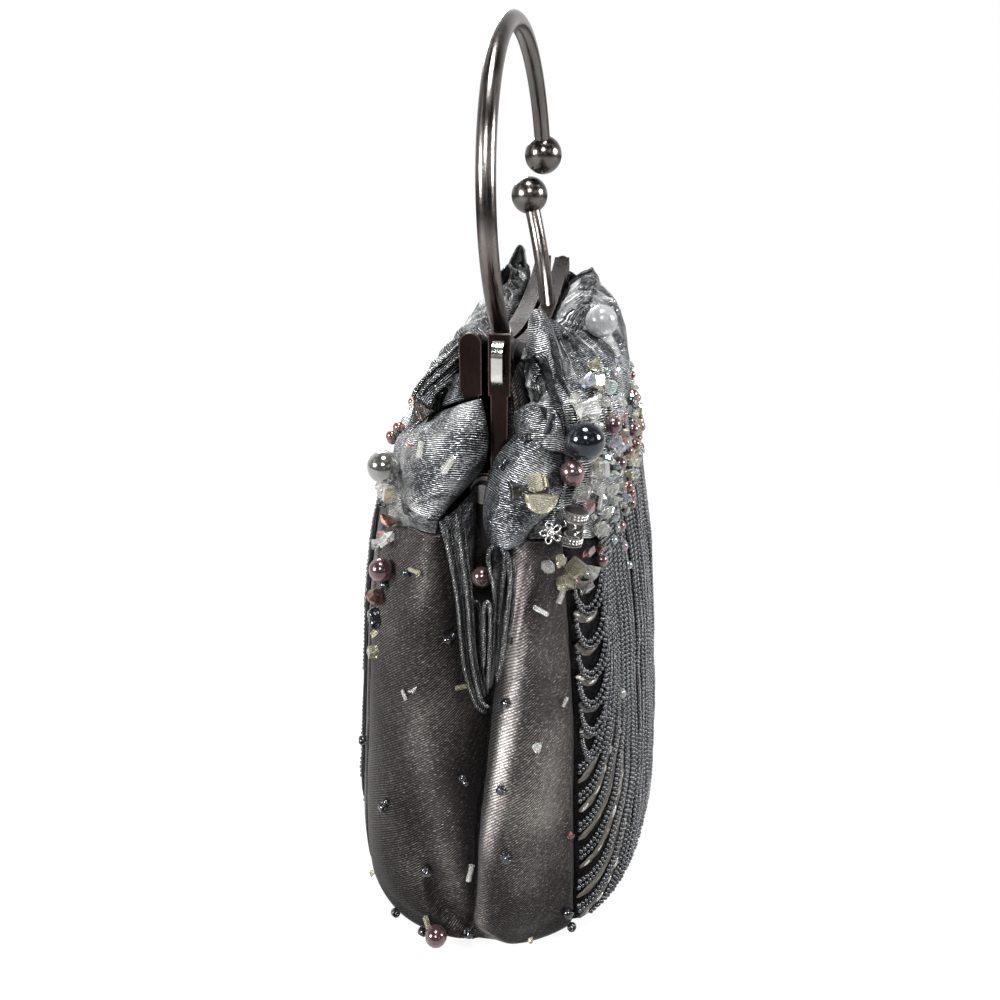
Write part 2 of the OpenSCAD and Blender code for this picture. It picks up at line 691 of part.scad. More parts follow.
module frosted_bead() {
    turn = 180-frosted_shares[0];
    share = frosted_shares[1];
    face = ruffle_w_shares;
    spot = ruffle_point(turn, share, face)+ruffle_out(turn, share, face)*(frost_d/2+soft_gap);
    color([0.6, 0.62, 0.66]) translate(spot) sphere(d = frost_d, $fn = small);
}

front_panel();
back_panel();
gusset_near();
gusset_far();
bottom_panel();
base_board();
lining();
front_bead_field();
back_bead_field();
ribbon_tail();
satin_beads();
hinge_strap_near();
hinge_strap_far();
hinge_washer_near();
hinge_washer_far();
hinge_rivet_near();
hinge_rivet_far();
front_frame();
handle_short_arc();
handle_lower_ball();
handle_collar_front();
chain_loop_near();
front_yoke();
front_ruffle();
front_pearls();
front_crystals();
filigree_bead();
frosted_bead();
back_frame();
handle_long_arc();
handle_upper_ball();
handle_collar_back();
chain_loop_far();
back_yoke();
back_ruffle();
back_pearls();
back_crystals();
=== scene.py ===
# Evening clutch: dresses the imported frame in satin, ribbon, beads and metal finishes.
import bmesh
import bpy
import math
import random
from mathutils import Matrix, Vector, noise
from mathutils.bvhtree import BVHTree


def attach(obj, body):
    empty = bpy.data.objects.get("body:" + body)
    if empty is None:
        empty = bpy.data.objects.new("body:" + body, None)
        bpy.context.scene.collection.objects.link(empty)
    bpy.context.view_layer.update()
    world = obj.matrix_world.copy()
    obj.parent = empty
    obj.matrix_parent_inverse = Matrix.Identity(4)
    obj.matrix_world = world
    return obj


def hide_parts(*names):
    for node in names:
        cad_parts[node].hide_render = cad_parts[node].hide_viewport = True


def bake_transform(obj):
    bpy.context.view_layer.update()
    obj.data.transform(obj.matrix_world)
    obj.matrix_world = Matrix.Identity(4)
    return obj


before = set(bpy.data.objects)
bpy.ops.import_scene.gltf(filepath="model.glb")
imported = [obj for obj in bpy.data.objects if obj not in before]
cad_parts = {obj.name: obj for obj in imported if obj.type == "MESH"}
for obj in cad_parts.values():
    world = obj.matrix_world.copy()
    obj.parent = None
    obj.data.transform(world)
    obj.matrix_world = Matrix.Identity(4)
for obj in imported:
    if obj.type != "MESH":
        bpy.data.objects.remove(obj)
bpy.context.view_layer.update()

mm = 0.001
scene = bpy.context.scene

# Camera, at the photographed angle; places are in millimetres like every size below
cameraPlan = {"place": (-267.5, -37.9, 209.1), "yaw": 0.1695, "pitch": 0.396, "roll": 0.003, "lens": 32.4}
picture = {"middle": 500, "focus": 900}  # half of the photo's width and the lens, in pixels


def cameraAxes():
    yaw, pitch, roll = cameraPlan["yaw"], cameraPlan["pitch"], cameraPlan["roll"]
    ahead = Vector((math.cos(pitch)*math.cos(yaw), math.cos(pitch)*math.sin(yaw), -math.sin(pitch)))
    right = ahead.cross(Vector((0, 0, 1))).normalized()
    up = right.cross(ahead)
    turnedRight = right*math.cos(roll)+up*math.sin(roll)
    turnedUp = up*math.cos(roll)-right*math.sin(roll)
    return ahead, turnedRight, turnedUp


def pixelRay(px, py):  # direction through a point of the 1000 x 1000 picture
    ahead, right, up = cameraAxes()
    middle, focus = picture["middle"], picture["focus"]
    return (ahead+right*(px-middle)/focus-up*(py-middle)/focus).normalized()


def pixelAt(px, py, x):  # the point of that ray on the plane X = x
    start = Vector(cameraPlan["place"])
    ray = pixelRay(px, py)
    return start+ray*((x-start.x)/ray.x)


def makeCamera():
    data = bpy.data.cameras.new("camera")
    data.lens = cameraPlan["lens"]
    data.sensor_width = 36
    data.clip_start = 0.01
    data.clip_end = 20
    thing = bpy.data.objects.new("camera", data)
    ahead, right, up = cameraAxes()
    turn = Matrix((right, up, -ahead)).transposed().to_4x4()
    thing.matrix_world = Matrix.Translation(Vector(cameraPlan["place"])*mm) @ turn
    scene.collection.objects.link(thing)
    scene.camera = thing


makeCamera()
print("camera placed")


# Materials: short ways to add nodes, then one function for each finish
class NodeKit:
    def __init__(self, tree):
        self.tree = tree

    def fill(self, node, inputs):  # links sockets, sets plain values
        for slot, value in inputs.items():
            if isinstance(value, bpy.types.NodeSocket):
                self.tree.links.new(value, node.inputs[slot])
            else:
                node.inputs[slot].default_value = value
        return node

    def add(self, kind, inputs=None, **settings):
        node = self.tree.nodes.new(kind)
        for key, value in settings.items():
            setattr(node, key, value)
        return self.fill(node, inputs or {})

    def maths(self, kind, first, second):
        return self.add("ShaderNodeMath", {0: first, 1: second}, operation=kind).outputs[0]

    def vectors(self, kind, first, second):
        slot = "Scale" if kind == "SCALE" else 1
        return self.add("ShaderNodeVectorMath", {0: first, slot: second}, operation=kind)

    def weigh(self, *parts):  # a sum of values, each times its weight
        total = None
        for value, weight in parts:
            part = value if weight == 1 else self.maths("MULTIPLY", value, weight)
            total = part if total is None else self.maths("ADD", total, part)
        return total

    def spread(self, value, low, high, newLow=0.0, newHigh=1.0):
        inputs = {"Value": value, "From Min": low, "From Max": high, "To Min": newLow, "To Max": newHigh}
        return self.add("ShaderNodeMapRange", inputs).outputs["Result"]

    def cloudy(self, point, scale, detail=2.0, rough=0.6):
        inputs = {"Vector": point, "Scale": scale, "Detail": detail, "Roughness": rough}
        return self.add("ShaderNodeTexNoise", inputs).outputs["Fac"]


class Finish(NodeKit):
    def __init__(self, name):
        self.material = bpy.data.materials.new(name)
        self.material.use_nodes = True
        super().__init__(self.material.node_tree)
        self.shader = self.tree.nodes["Principled BSDF"]

    def body(self):
        return self.add("ShaderNodeTexCoord").outputs["Object"]

    def mapped(self, point, scale, turn=0):
        inputs = {"Vector": point, "Scale": scale, "Rotation": (0, 0, turn)}
        return self.add("ShaderNodeMapping", inputs).outputs["Vector"]

    def cloth(self, scale=(1, 1, 1), turn=0):
        return self.mapped(self.add("ShaderNodeUVMap", uv_map="cloth").outputs["UV"], scale, turn)

    def waves(self, point, pitch, distortion=1.0, detail=1.0, direction="Y"):  # bands, pitch in millimetres
        scale = wavePitch/(pitch*mm)
        inputs = {"Vector": point, "Scale": scale, "Distortion": distortion, "Detail": detail}
        return self.add("ShaderNodeTexWave", inputs, bands_direction=direction).outputs["Fac"]

    def mark(self, name):
        return self.add("ShaderNodeAttribute", attribute_name=name).outputs["Fac"]

    def colours(self, value, *stops):
        ramp = self.add("ShaderNodeValToRGB", {"Fac": value})
        while len(ramp.color_ramp.elements) < len(stops):
            ramp.color_ramp.elements.new(0.5)
        for spot, (where, colour) in zip(ramp.color_ramp.elements, stops):
            spot.position = where
            spot.color = (*colour, 1)
        return ramp.outputs["Color"]

    def shaded(self, colour):  # painted shade deep in the folds, painted highlight along the satin's ridge
        paintedHighlight = self.mark("paintedHighlight")
        depth = self.maths("POWER", self.mark("open"), foldShade["curve"])
        share = self.maths("MAXIMUM", self.spread(depth, 0, 1, foldShade["darkest"]), paintedHighlight)
        share = self.weigh((share, 1), (paintedHighlight, foldShade["sheen"]))
        lit = self.vectors("SCALE", colour, share).outputs["Vector"]
        return self.vectors("MINIMUM", lit, foldShade["brightest"]).outputs["Vector"]

    def done(self, height, distance, strength, inputs):  # fills the shader and adds a bump
        bump = self.add("ShaderNodeBump", {"Height": height, "Distance": distance, "Strength": strength})
        self.fill(self.shader, {**inputs, "Normal": bump.outputs["Normal"]})
        return self.material


def tinted(colour, *shares):
    if len(shares) == 1:
        shares = shares*3
    return tuple(min(1, c*share) for c, share in zip(colour, shares))


wavePitch = 0.31416  # metres between two bands of a wave texture at scale 1
# how deep the painted shade in folds goes, how strong the painted ridge highlight is, and a cap on the result
foldShade = {"curve": 1.6, "darkest": 0.06, "sheen": 8.5, "brightest": (0.92, 0.90, 0.83)}
satinFinish = {
    "stops": ((0.24, (0.009, 0.0072, 0.008)), (0.55, (0.052, 0.046, 0.046)), (0.98, (0.62, 0.59, 0.52))),
    "twillPitch": 0.62,
    "twillTurn": math.radians(-38),
}
ribbonFinish = {
    "stops": ((0.34, (0.005, 0.006, 0.007)), (0.53, (0.088, 0.096, 0.105)), (0.80, (0.95, 0.97, 0.98))),
    "ribPitch": 0.50,
}
braidStops = ((0.44, (0.0035, 0.0035, 0.004)), (0.66, (0.036, 0.037, 0.039)), (0.86, (0.92, 0.93, 0.92)))
organzaStops = ((0.44, (0.007, 0.006, 0.006)), (0.60, (0.088, 0.078, 0.068)), (0.80, (0.44, 0.40, 0.36)))


def satinCloth(name, tint=(1, 1, 1)):  # charcoal satin, fine slanted twill with a broken sheen
    kit = Finish(name)
    drawn = kit.cloth((0.22, 1, 1), satinFinish["twillTurn"])
    twill = kit.waves(kit.cloth(turn=satinFinish["twillTurn"]), satinFinish["twillPitch"])
    thread = kit.weigh((twill, 0.45), (kit.cloudy(drawn, 2300, rough=0.7), 0.75))
    glint = kit.spread(kit.cloudy(drawn, 3300, rough=0.8), 0.56, 0.72)
    broad = kit.spread(kit.cloudy(kit.cloth(), 30, 4.0, 0.55), 0.3, 0.7, 0.0, 0.22)
    stops = [(where, tinted(colour, *tint)) for where, colour in satinFinish["stops"]]
    colour = kit.shaded(kit.colours(kit.weigh((thread, 0.6), (glint, 0.36), (broad, 1)), *stops))
    lie = kit.add("ShaderNodeTangent", direction_type="UV_MAP", uv_map="cloth").outputs["Tangent"]
    # less metallic where the ridge highlight is painted, so the painted colour shows
    return kit.done(thread, 0.00016, 0.75, {"Base Color": colour,
                    "Roughness": kit.spread(glint, 0, 1, 0.44, 0.30),
                    "Metallic": kit.spread(kit.mark("paintedHighlight"), 0, 0.6, 0.78, 0.15), "Tangent": lie,
                    "Anisotropic": 0.8, "Specular Tint": (0.30, 0.27, 0.27, 1), "Sheen Weight": 0.12,
                    "Sheen Roughness": 0.35})


def ribbonCloth(name, tint=(1, 1, 1)):  # ribbed metallic ribbon, ribs across the cloth's length
    kit = Finish(name)
    ribs = kit.waves(kit.cloth(), ribbonFinish["ribPitch"], 0.8)
    speck = kit.cloudy(kit.cloth((0.3, 1, 1)), 3000, rough=0.8)
    glint = kit.spread(speck, 0.47, 0.66)
    broad = kit.spread(kit.cloudy(kit.cloth(), 75, 4.0), 0.34, 0.68, 0.0, 0.34)
    stops = [(where, tinted(colour, *tint)) for where, colour in ribbonFinish["stops"]]
    colour = kit.shaded(kit.colours(kit.weigh((ribs, 0.44), (glint, 0.36), (broad, 1)), *stops))
    return kit.done(kit.weigh((ribs, 1), (speck, 0.5)), 0.0002, 0.9, {"Base Color": colour, "Metallic": 0.78,
                    "Roughness": kit.spread(glint, 0, 1, 0.5, 0.26)})


def braidCloth(name):  # the twisted metallic edge of the ribbon
    kit = Finish(name)
    flat = kit.cloth(turn=math.radians(35))
    twist = kit.waves(flat, 0.55, 2.0, 2.0)
    # bright specks in the colour: painted glints
    speck = kit.spread(kit.cloudy(flat, 2600, rough=0.8), 0.36, 0.64, 0.0, 0.6)
    colour = kit.shaded(kit.colours(kit.weigh((twist, 0.35), (speck, 1)), *braidStops))
    return kit.done(twist, 0.00025, 0.9, {"Base Color": colour, "Metallic": 0.6, "Roughness": 0.36})


def organzaBand(name):  # streaky grey band between the strands of beads
    kit = Finish(name)
    flat = kit.cloth((1, 0.16, 1))
    streak = kit.cloudy(flat, 1100, 3.0, 0.7)
    colour = kit.colours(kit.weigh((streak, 0.7), (kit.cloudy(flat, 110, 3.0), 0.5)), *organzaStops)
    return kit.done(streak, 0.0004, 0.9, {"Base Color": colour, "Metallic": 0.1, "Roughness": 0.55})


def brushedMetal(name, colour, rough=0.27, edgeWearAndHighlight=1.0):  # worn, slightly brushed plating, lighter at its edges: rubbed wear and painted edge highlight
    kit = Finish(name)
    point = kit.body()
    lines = kit.cloudy(kit.mapped(point, (1, 1, 0.05)), 4200)
    wear = kit.cloudy(point, 95, 5.0, 0.65)
    grain = kit.cloudy(point, 3000, rough=0.7)
    rounded = kit.add("ShaderNodeBevel", {"Radius": 0.0005}, samples=4).outputs["Normal"]
    flatFace = kit.add("ShaderNodeNewGeometry").outputs["Normal"]
    agree = kit.vectors("DOT_PRODUCT", rounded, flatFace).outputs["Value"]
    shade = kit.colours(kit.weigh((wear, 0.7), (lines, 0.3)), (0.3, tinted(colour, 0.62)), (0.55, colour),
                        (0.8, tinted(colour, 1.32)))
    # edges lighter by the given factor: part rubbed wear, part painted edge highlight
    body = kit.vectors("SCALE", shade, kit.spread(agree, 0.97, 0.80, 1.0, edgeWearAndHighlight)).outputs["Vector"]
    return kit.done(kit.weigh((lines, 1), (grain, 1)), 0.00004, 0.5, {"Base Color": body, "Metallic": 1.0,
                    "Roughness": kit.spread(wear, 0.3, 0.7, rough-0.06, rough+0.09)})


def pearlCoat(name, colour, deep, rough=0.16):  # nacre over a glass core, its colour lighter towards the rim as seen: painted rim sheen
    kit = Finish(name)
    point = kit.body()
    facing = kit.add("ShaderNodeLayerWeight", {"Blend": 0.35}).outputs["Facing"]
    shade = kit.weigh((facing, 0.6), (kit.cloudy(point, 260, 3.0), 0.4))
    shade = kit.colours(shade, (0.15, deep), (0.5, colour), (0.95, tinted(colour, 1.5)))
    return kit.done(kit.cloudy(point, 1900), 0.00003, 0.5, {"Base Color": shade, "Metallic": 0.85,
                    "Roughness": rough, "Coat Weight": 0.5, "Coat Roughness": 0.06})


def cutGlass(name, colour, rough=0.04, clear=0.92, film=0):
    kit = Finish(name)
    point = kit.body()
    cloud = kit.cloudy(point, 420, 3.0)
    if film:  # a rainbow coat, thicker here and thinner there
        thickness = kit.spread(cloud, 0.25, 0.75, film*0.7, film*1.4)
        kit.fill(kit.shader, {"Thin Film Thickness": thickness, "Thin Film IOR": 2.1})
    return kit.done(kit.cloudy(point, 1100), 0.00004, 0.22, {"Transmission Weight": clear, "IOR": 1.52,
                    "Base Color": kit.colours(cloud, (0.3, tinted(colour, 0.82)), (0.7, colour)),
                    "Roughness": kit.spread(cloud, 0.3, 0.7, rough*0.3, rough*1.3), "Coat Weight": 1.0,
                    "Coat Roughness": 0.02})


def seedGlass(name, colour, rough=0.11):  # hematite-dark seed beads
    kit = Finish(name)
    cloud = kit.cloudy(kit.body(), 900, rough=0.5)
    shade = kit.colours(cloud, (0.35, tinted(colour, 0.6)), (0.7, tinted(colour, 2.4)))
    return kit.done(cloud, 0.00005, 0.4, {"Base Color": shade, "Metallic": 0.6, "Roughness": rough,
                    "Coat Weight": 0.9, "Coat Roughness": 0.05})


def darkCloth(name, colour):  # plain woven lining
    kit = Finish(name)
    flat = kit.cloth()
    weave = kit.maths("MULTIPLY", kit.waves(flat, 0.7), kit.waves(flat, 0.7, direction="X"))
    shade = kit.weigh((weave, 0.6), (kit.cloudy(flat, 80, 3.0, 0.5), 0.5))
    shade = kit.colours(shade, (0.2, tinted(colour, 0.5)), (0.8, tinted(colour, 1.5)))
    return kit.done(weave, 0.0001, 0.7, {"Base Color": shade, "Roughness": 0.62, "Sheen Weight": 0.2})


def boardFinish(name):
    kit = Finish(name)
    fibre = kit.cloudy(kit.body(), 700, 5.0, 0.7)
    shade = kit.colours(fibre, (0.3, (0.14, 0.11, 0.08)), (0.7, (0.30, 0.25, 0.19)))
    return kit.done(fibre, 0.0002, 0.6, {"Base Color": shade, "Roughness": 0.85})


satin = satinCloth("endSatin")
panelSatin = satinCloth("panelSatin", (0.22, 0.22, 0.24))
bottomSatin = satinCloth("bottomSatin", (0.85, 0.83, 0.85))
flapSatin = satinCloth("flapSatin", (0.75, 0.70, 0.68))
neckSatin = satinCloth("neckSatin", (0.8, 0.8, 0.82))
# the ribbon and two darker copies of it, which carry painted shade for folds that lie in shade
ribbon = ribbonCloth("ribbonSilver")
ribbonMid = ribbonCloth("ribbonMid", (0.68, 0.69, 0.71))
ribbonPaintedShade = ribbonCloth("ribbonShade", (0.5, 0.51, 0.53))
braid = braidCloth("ribbonBraid")
organza = organzaBand("organzaBand")
liningWeave = darkCloth("liningWeave", (0.06, 0.055, 0.06))
board = boardFinish("boardFibre")
gunmetal = brushedMetal("frameGunmetal", (0.024, 0.016, 0.014), 0.26, edgeWearAndHighlight=11.0)
handlePlating = brushedMetal("handlePlating", (0.18, 0.16, 0.148), 0.2)
silver = brushedMetal("loopSilver", (0.80, 0.78, 0.74), 0.16)
rivetSteel = brushedMetal("rivetSteel", (0.30, 0.28, 0.27), 0.3)
washerNylon = pearlCoat("washerNylon", (0.55, 0.54, 0.50), (0.40, 0.39, 0.36), 0.4)
strapSteel = brushedMetal("strapSteel", (0.035, 0.031, 0.030), 0.34)
tubeSilver = brushedMetal("tubeSilver", (0.085, 0.082, 0.078), 0.3, edgeWearAndHighlight=8.0)
flowerSilver = brushedMetal("flowerSilver", (0.62, 0.61, 0.59), 0.22)
darkPearl = pearlCoat("darkPearl", (0.07, 0.082, 0.098), (0.010, 0.012, 0.015), 0.10)
greyPearl = pearlCoat("greyPearl", (0.42, 0.42, 0.40), (0.12, 0.12, 0.11), 0.15)
mauvePearl = pearlCoat("mauvePearl", (0.27, 0.175, 0.18), (0.065, 0.036, 0.04), 0.2)
bronzePearl = pearlCoat("bronzePearl", (0.30, 0.165, 0.13), (0.07, 0.03, 0.025), 0.22)
crystalClear = cutGlass("crystalClear", (0.96, 0.96, 0.92), 0.03, 0.86)
crystalWarm = cutGlass("crystalWarm", (0.92, 0.87, 0.66), 0.04, 0.90)
crystalRose = cutGlass("crystalRose", (0.70, 0.44, 0.41), 0.04, 0.92)
crystalAurora = cutGlass("crystalAurora", (0.86, 0.89, 0.94), 0.03, 0.88, 420)
frosted = cutGlass("frostedGlass", (0.40, 0.41, 0.42), 0.36, 0.45)
seedDark = seedGlass("seedDark", (0.016, 0.017, 0.020))
bugleGrey = cutGlass("bugleGrey", (0.82, 0.80, 0.76), 0.08, 0.6)
print("materials made")


# Shapes of the bag, in millimetres
bagPlan = {
    "length": 176,
    "width": 90,
    "rim": 119,
    "seam": 32,
    "wrap": 45,
    "power": 0.8,
    "heights": [0, 0.025, 0.11, 0.25, 0.43, 0.66, 0.86, 1],
    "lengths": [1, 1.028, 1.038, 1.02, 1, 0.972, 0.94, 0.915],
    "widths": [0.975, 1.03, 1.04, 1.02, 0.985, 0.94, 0.87, 0.775],
    "frontWidths": [0.965, 1.012, 1.01, 0.985, 0.948, 0.888, 0.80, 0.73],
    "creaseHeights": [0, 0.05, 0.1, 0.2, 0.42, 0.65, 0.9, 1],
    "creaseDepths": [0.5, 2.5, 6.0, 9.5, 11.0, 15.0, 17.0, 16.0],
    "creaseLeft": [4.5, 5.0, 5.5, 7.0, 12.0, 17.0, 18.5, 17.5],
    "creaseRight": [4.0, 4.5, 5.0, 6.0, 8.5, 11.0, 11.5, 10.5],
    "creaseY": [1.2, 0.8, 0.2, 0.6, -1.6, -2.6, -2.6, -2.4],
    "pleatHeights": [0, 0.035, 0.06, 0.09, 0.13, 0.17, 0.22],
    "pleatLine": [-1, 3.4, 6.8, 9.4, 11.6, 12.6, 13],
    "satin": 1.6,
}


def smoothRow(heights, values, s):  # smooth curve through a row of values
    s = min(max(s, heights[0]), heights[-1])
    i = max(j for j in range(len(heights)-1) if heights[j] <= s)
    h = heights[i+1]-heights[i]
    t = (s-heights[i])/h

    def slope(j):
        if j == 0 or j == len(heights)-1:
            k = min(max(j, 1), len(heights)-1)
            return (values[k]-values[k-1])/(heights[k]-heights[k-1])
        before = (values[j]-values[j-1])/(heights[j]-heights[j-1])
        after = (values[j+1]-values[j])/(heights[j+1]-heights[j])
        return 0 if before*after <= 0 else 2*before*after/(before+after)

    a, b = values[i], values[i+1]
    return ((2*t**3-3*t**2+1)*a+(t**3-2*t**2+t)*h*slope(i)
            + (3*t**2-2*t**3)*b+(t**3-t**2)*h*slope(i+1))


def flatPower(a):
    return math.copysign(abs(a)**bagPlan["power"], a)


def easeIn(low, high, value):
    t = min(max((value-low)/(high-low), 0), 1)
    return t*t*(3-2*t)


def softNoise(x, y, z, size, seed=0):
    return noise.noise(Vector((x/size+seed*7.3, y/size-seed*3.1, z/size+seed*1.7)))


def wallSize(name, s):
    return smoothRow(bagPlan["heights"], bagPlan[name], s)


def creaseSize(name, s):
    return smoothRow(bagPlan["creaseHeights"], bagPlan[name], s)


def bagWall(u, s, out=0.0):  # a point of the satin's face, turn u in degrees, height share s
    angle = math.radians(u)
    a = bagPlan["length"]/2*wallSize("lengths", s)+out
    b = bagPlan["width"]/2*wallSize("widths" if math.sin(angle) > 0 else "frontWidths", s)+out
    z = bagPlan["rim"]*s
    x, y = a*flatPower(math.cos(angle)), b*flatPower(math.sin(angle))
    end = -1 if x < 0 else 1
    fade = easeIn(0.60, 0.97, abs(x)/a)
    if fade > 0:
        across = -y*end  # seen the same way at either end: plus is to the left
        far = across-creaseSize("creaseY", s)
        reach = creaseSize("creaseLeft" if far > 0 else "creaseRight", s)
        valley = max(0, 1-abs(far)/reach)**1.75
        flatness = 1-0.9*math.exp(-(far/22)**2)
        swell = easeIn(-0.02, 0.2, s)*(1-0.55*easeIn(0.8, 1.0, s))
        x -= end*fade*creaseSize("creaseDepths", s)*valley
        x -= end*fade*2.2*flatness*swell
        lean = easeIn(reach*1.6, 0, abs(far))-valley
        y += -end*fade*2.0*max(lean, 0)*(-1 if far > 0 else 0.7)
        crest = 3.4*math.exp(-((far+13.5)/6.0)**2)+3.4*math.exp(-((far-21)/10.0)**2)
        x += end*fade*crest*swell
        bulge = 1.8*math.exp(-((across-33)/11)**2)*easeIn(0.05, 0.3, s)*easeIn(0.95, 0.7, s)
        y += -end*fade*bulge
        toPleat = smoothRow(bagPlan["pleatHeights"], bagPlan["pleatLine"], s)-across
        sink = easeIn(-1.3, 1.3, toPleat)*easeIn(13, 3, toPleat)*easeIn(0.26, 0.14, s)*easeIn(-0.03, 0.05, s)
        x -= end*fade*3.6*sink
        drag = math.sin(across*0.42+s*10+1.6*softNoise(x, y, z, 26, 3))
        x += end*fade*0.8*drag*easeIn(0.55, 0.95, s)*easeIn(0, 8, abs(far))
        x += end*fade*1.5*softNoise(0, y, z*0.6, 17, 1)*easeIn(0, 0.1, s)
        y += fade*0.8*softNoise(x*0.3, y, z, 21, 2)*easeIn(0, 0.1, s)
    return Vector((x, y, z))


# Mesh helpers
def halfTurned(points):  # the same points turned half round, for the far end
    return [Vector((-p.x, -p.y, p.z)) for p in points]


def randomWay(rng):
    return Vector((rng.gauss(0, 1), rng.gauss(0, 1), rng.gauss(0, 1))).normalized()


def addObject(name, mesh, material):
    thing = bpy.data.objects.new(name, mesh)
    scene.collection.objects.link(thing)
    if material:
        mesh.materials.append(material)
    return thing


def travelled(line):  # how far along the line each of its points lies
    made = [0]
    for p, q in zip(line, line[1:]):
        made.append(made[-1]+(q-p).length)
    return made


def clothSheet(name, rows, material, thick, flip=False, around=False):
    # rows of points in millimetres; the cloth map holds real metres along and across
    high, wide = len(rows), len(rows[0])
    mesh = bpy.data.meshes.new(name)
    points = [p*mm for row in rows for p in row]
    faces = []
    for i in range(high-1):
        for j in range(wide-1 if not around else wide):
            k = (j+1) % wide
            face = (i*wide+j, i*wide+k, (i+1)*wide+k, (i+1)*wide+j)
            faces.append(face[::-1] if flip else face)
    mesh.from_pydata(points, [], faces)
    along = travelled(rows[high//2]+[rows[high//2][0]])
    up = travelled([row[wide//2] for row in rows])
    layer = mesh.uv_layers.new(name="cloth")
    for polygon in mesh.polygons:
        columns = [mesh.loops[c].vertex_index % wide for c in polygon.loop_indices]
        wraps = around and max(columns)-min(columns) > 1
        for corner, column in zip(polygon.loop_indices, columns):
            index = mesh.loops[corner].vertex_index
            if wraps and column == 0:
                column = wide
            layer.data[corner].uv = (along[column]*mm, up[index//wide]*mm)
    mesh.polygons.foreach_set("use_smooth", [True]*len(mesh.polygons))
    mesh.update()
    thing = addObject(name, mesh, material)
    wall = thing.modifiers.new("thickness", "SOLIDIFY")
    wall.thickness = thick*mm
    wall.offset = -1
    wall.use_even_offset = False
    wall.use_quality_normals = True
    return thing


def splinePoint(a, b, c, d, t):  # smooth curve from b to c
    return 0.5*((2*b)+(c-a)*t+(2*a-5*b+4*c-d)*t*t+(3*b-a-3*c+d)*t**3)


def curveThrough(points, steps):  # smooth line through points, evenly stepped between them
    made = []
    last = len(points)-1
    for i in range(last):
        a, b, c, d = points[max(i-1, 0)], points[i], points[i+1], points[min(i+2, last)]
        made += [splinePoint(a, b, c, d, k/steps) for k in range(steps)]
    made.append(points[-1].copy())
    return made


def patchRows(grid, steps):  # a grid of control points made finer both ways
    rows = [curveThrough(row, steps) for row in grid]
    columns = [curveThrough([row[j] for row in rows], steps) for j in range(len(rows[0]))]
    return [[column[i] for column in columns] for i in range(len(columns[0]))]


def ringFaces(rings, sides, start=0, closed=False):  # faces between neighbouring rings of points
    faces = []
    for i in range(rings if closed else rings-1):
        a, b = start+i*sides, start+(i+1) % rings*sides
        faces += [(a+k, a+(k+1) % sides, b+(k+1) % sides, b+k) for k in range(sides)]
    return faces


def cordMesh(name, lines, width, material, sides=8, flatness=1.0, wobble=0.0, seed=0):
    # round or flat cords along lines, one mesh; the cloth map runs round and along
    mesh = bpy.data.meshes.new(name)
    points, faces, maps = [], [], []
    for n, line in enumerate(lines):
        start = len(points)
        along = travelled(line)
        for i, p in enumerate(line):
            ahead = (line[min(i+1, len(line)-1)]-line[max(i-1, 0)]).normalized()
            outward = Vector((p.x*(0.35 if abs(p.y) > 9 else 1), p.y, 0)).normalized()
            side = ahead.cross(outward).normalized()
            outward = side.cross(ahead).normalized()
            taper = math.sqrt(max(0.12, min(1, min(i, len(line)-1-i)/3)))
            w = width*taper*(1+wobble*softNoise(p.x, p.y, p.z, 2.2, seed+n))
            for k in range(sides):
                turn = 2*math.pi*k/sides
                points.append((p+side*math.cos(turn)*w/2+outward*math.sin(turn)*w*flatness/2)*mm)
                maps.append((k/sides*width*3.1*mm, along[i]*mm))
        faces += ringFaces(len(line), sides, start)
        faces.append(tuple(range(start, start+sides))[::-1])
        faces.append(tuple(range(len(points)-sides, len(points))))
    mesh.from_pydata(points, [], faces)
    layer = mesh.uv_layers.new(name="cloth")
    for loop in mesh.loops:
        layer.data[loop.index].uv = maps[loop.vertex_index]
    mesh.polygons.foreach_set("use_smooth", [True]*len(mesh.polygons))
    turnOut(mesh)
    return addObject(name, mesh, material)


def turnOut(mesh):
    work = bmesh.new()
    work.from_mesh(mesh)
    bmesh.ops.recalc_face_normals(work, faces=work.faces)
    work.to_mesh(mesh)
    work.free()
    mesh.update()


# Satin ends and panels: one wall function, four pieces that meet in sewn seams
wallSteps = {"end": (150, 110), "panel": (96, 60), "seamTuck": 1.1, "seamWidth": 1.3}


def wallRows(uFrom, uTo, columns, rowsCount):
    rows = []
    for i in range(rowsCount+1):
        row = []
        for j in range(columns+1):
            u = uFrom+(uTo-uFrom)*j/columns
            edge = min(j, columns-j)/columns*abs(uTo-uFrom)
            tuck = wallSteps["seamTuck"]*math.exp(-(edge/wallSteps["seamWidth"])**2)
            row.append(bagWall(u, i/rowsCount, -tuck))
        rows.append(row)
    return rows


def wallPiece(name, nodeName, uFrom, uTo, kind, material):
    piece = clothSheet(name, wallRows(uFrom, uTo, *wallSteps[kind]), material, bagPlan["satin"])
    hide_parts(nodeName)
    return piece


seam = bagPlan["seam"]
wrap = bagPlan["wrap"]
nearEnd = wallPiece("near_end_satin", "gusset_near", 180-wrap, 180+seam, "end", satin)
farEnd = wallPiece("far_end_satin", "gusset_far", -wrap, seam, "end", satin)
frontPanel = wallPiece("front_panel_satin", "front_panel", 180+seam, 360-wrap, "panel", panelSatin)
backPanel = wallPiece("back_panel_satin", "back_panel", seam, 180-wrap, "panel", satin)


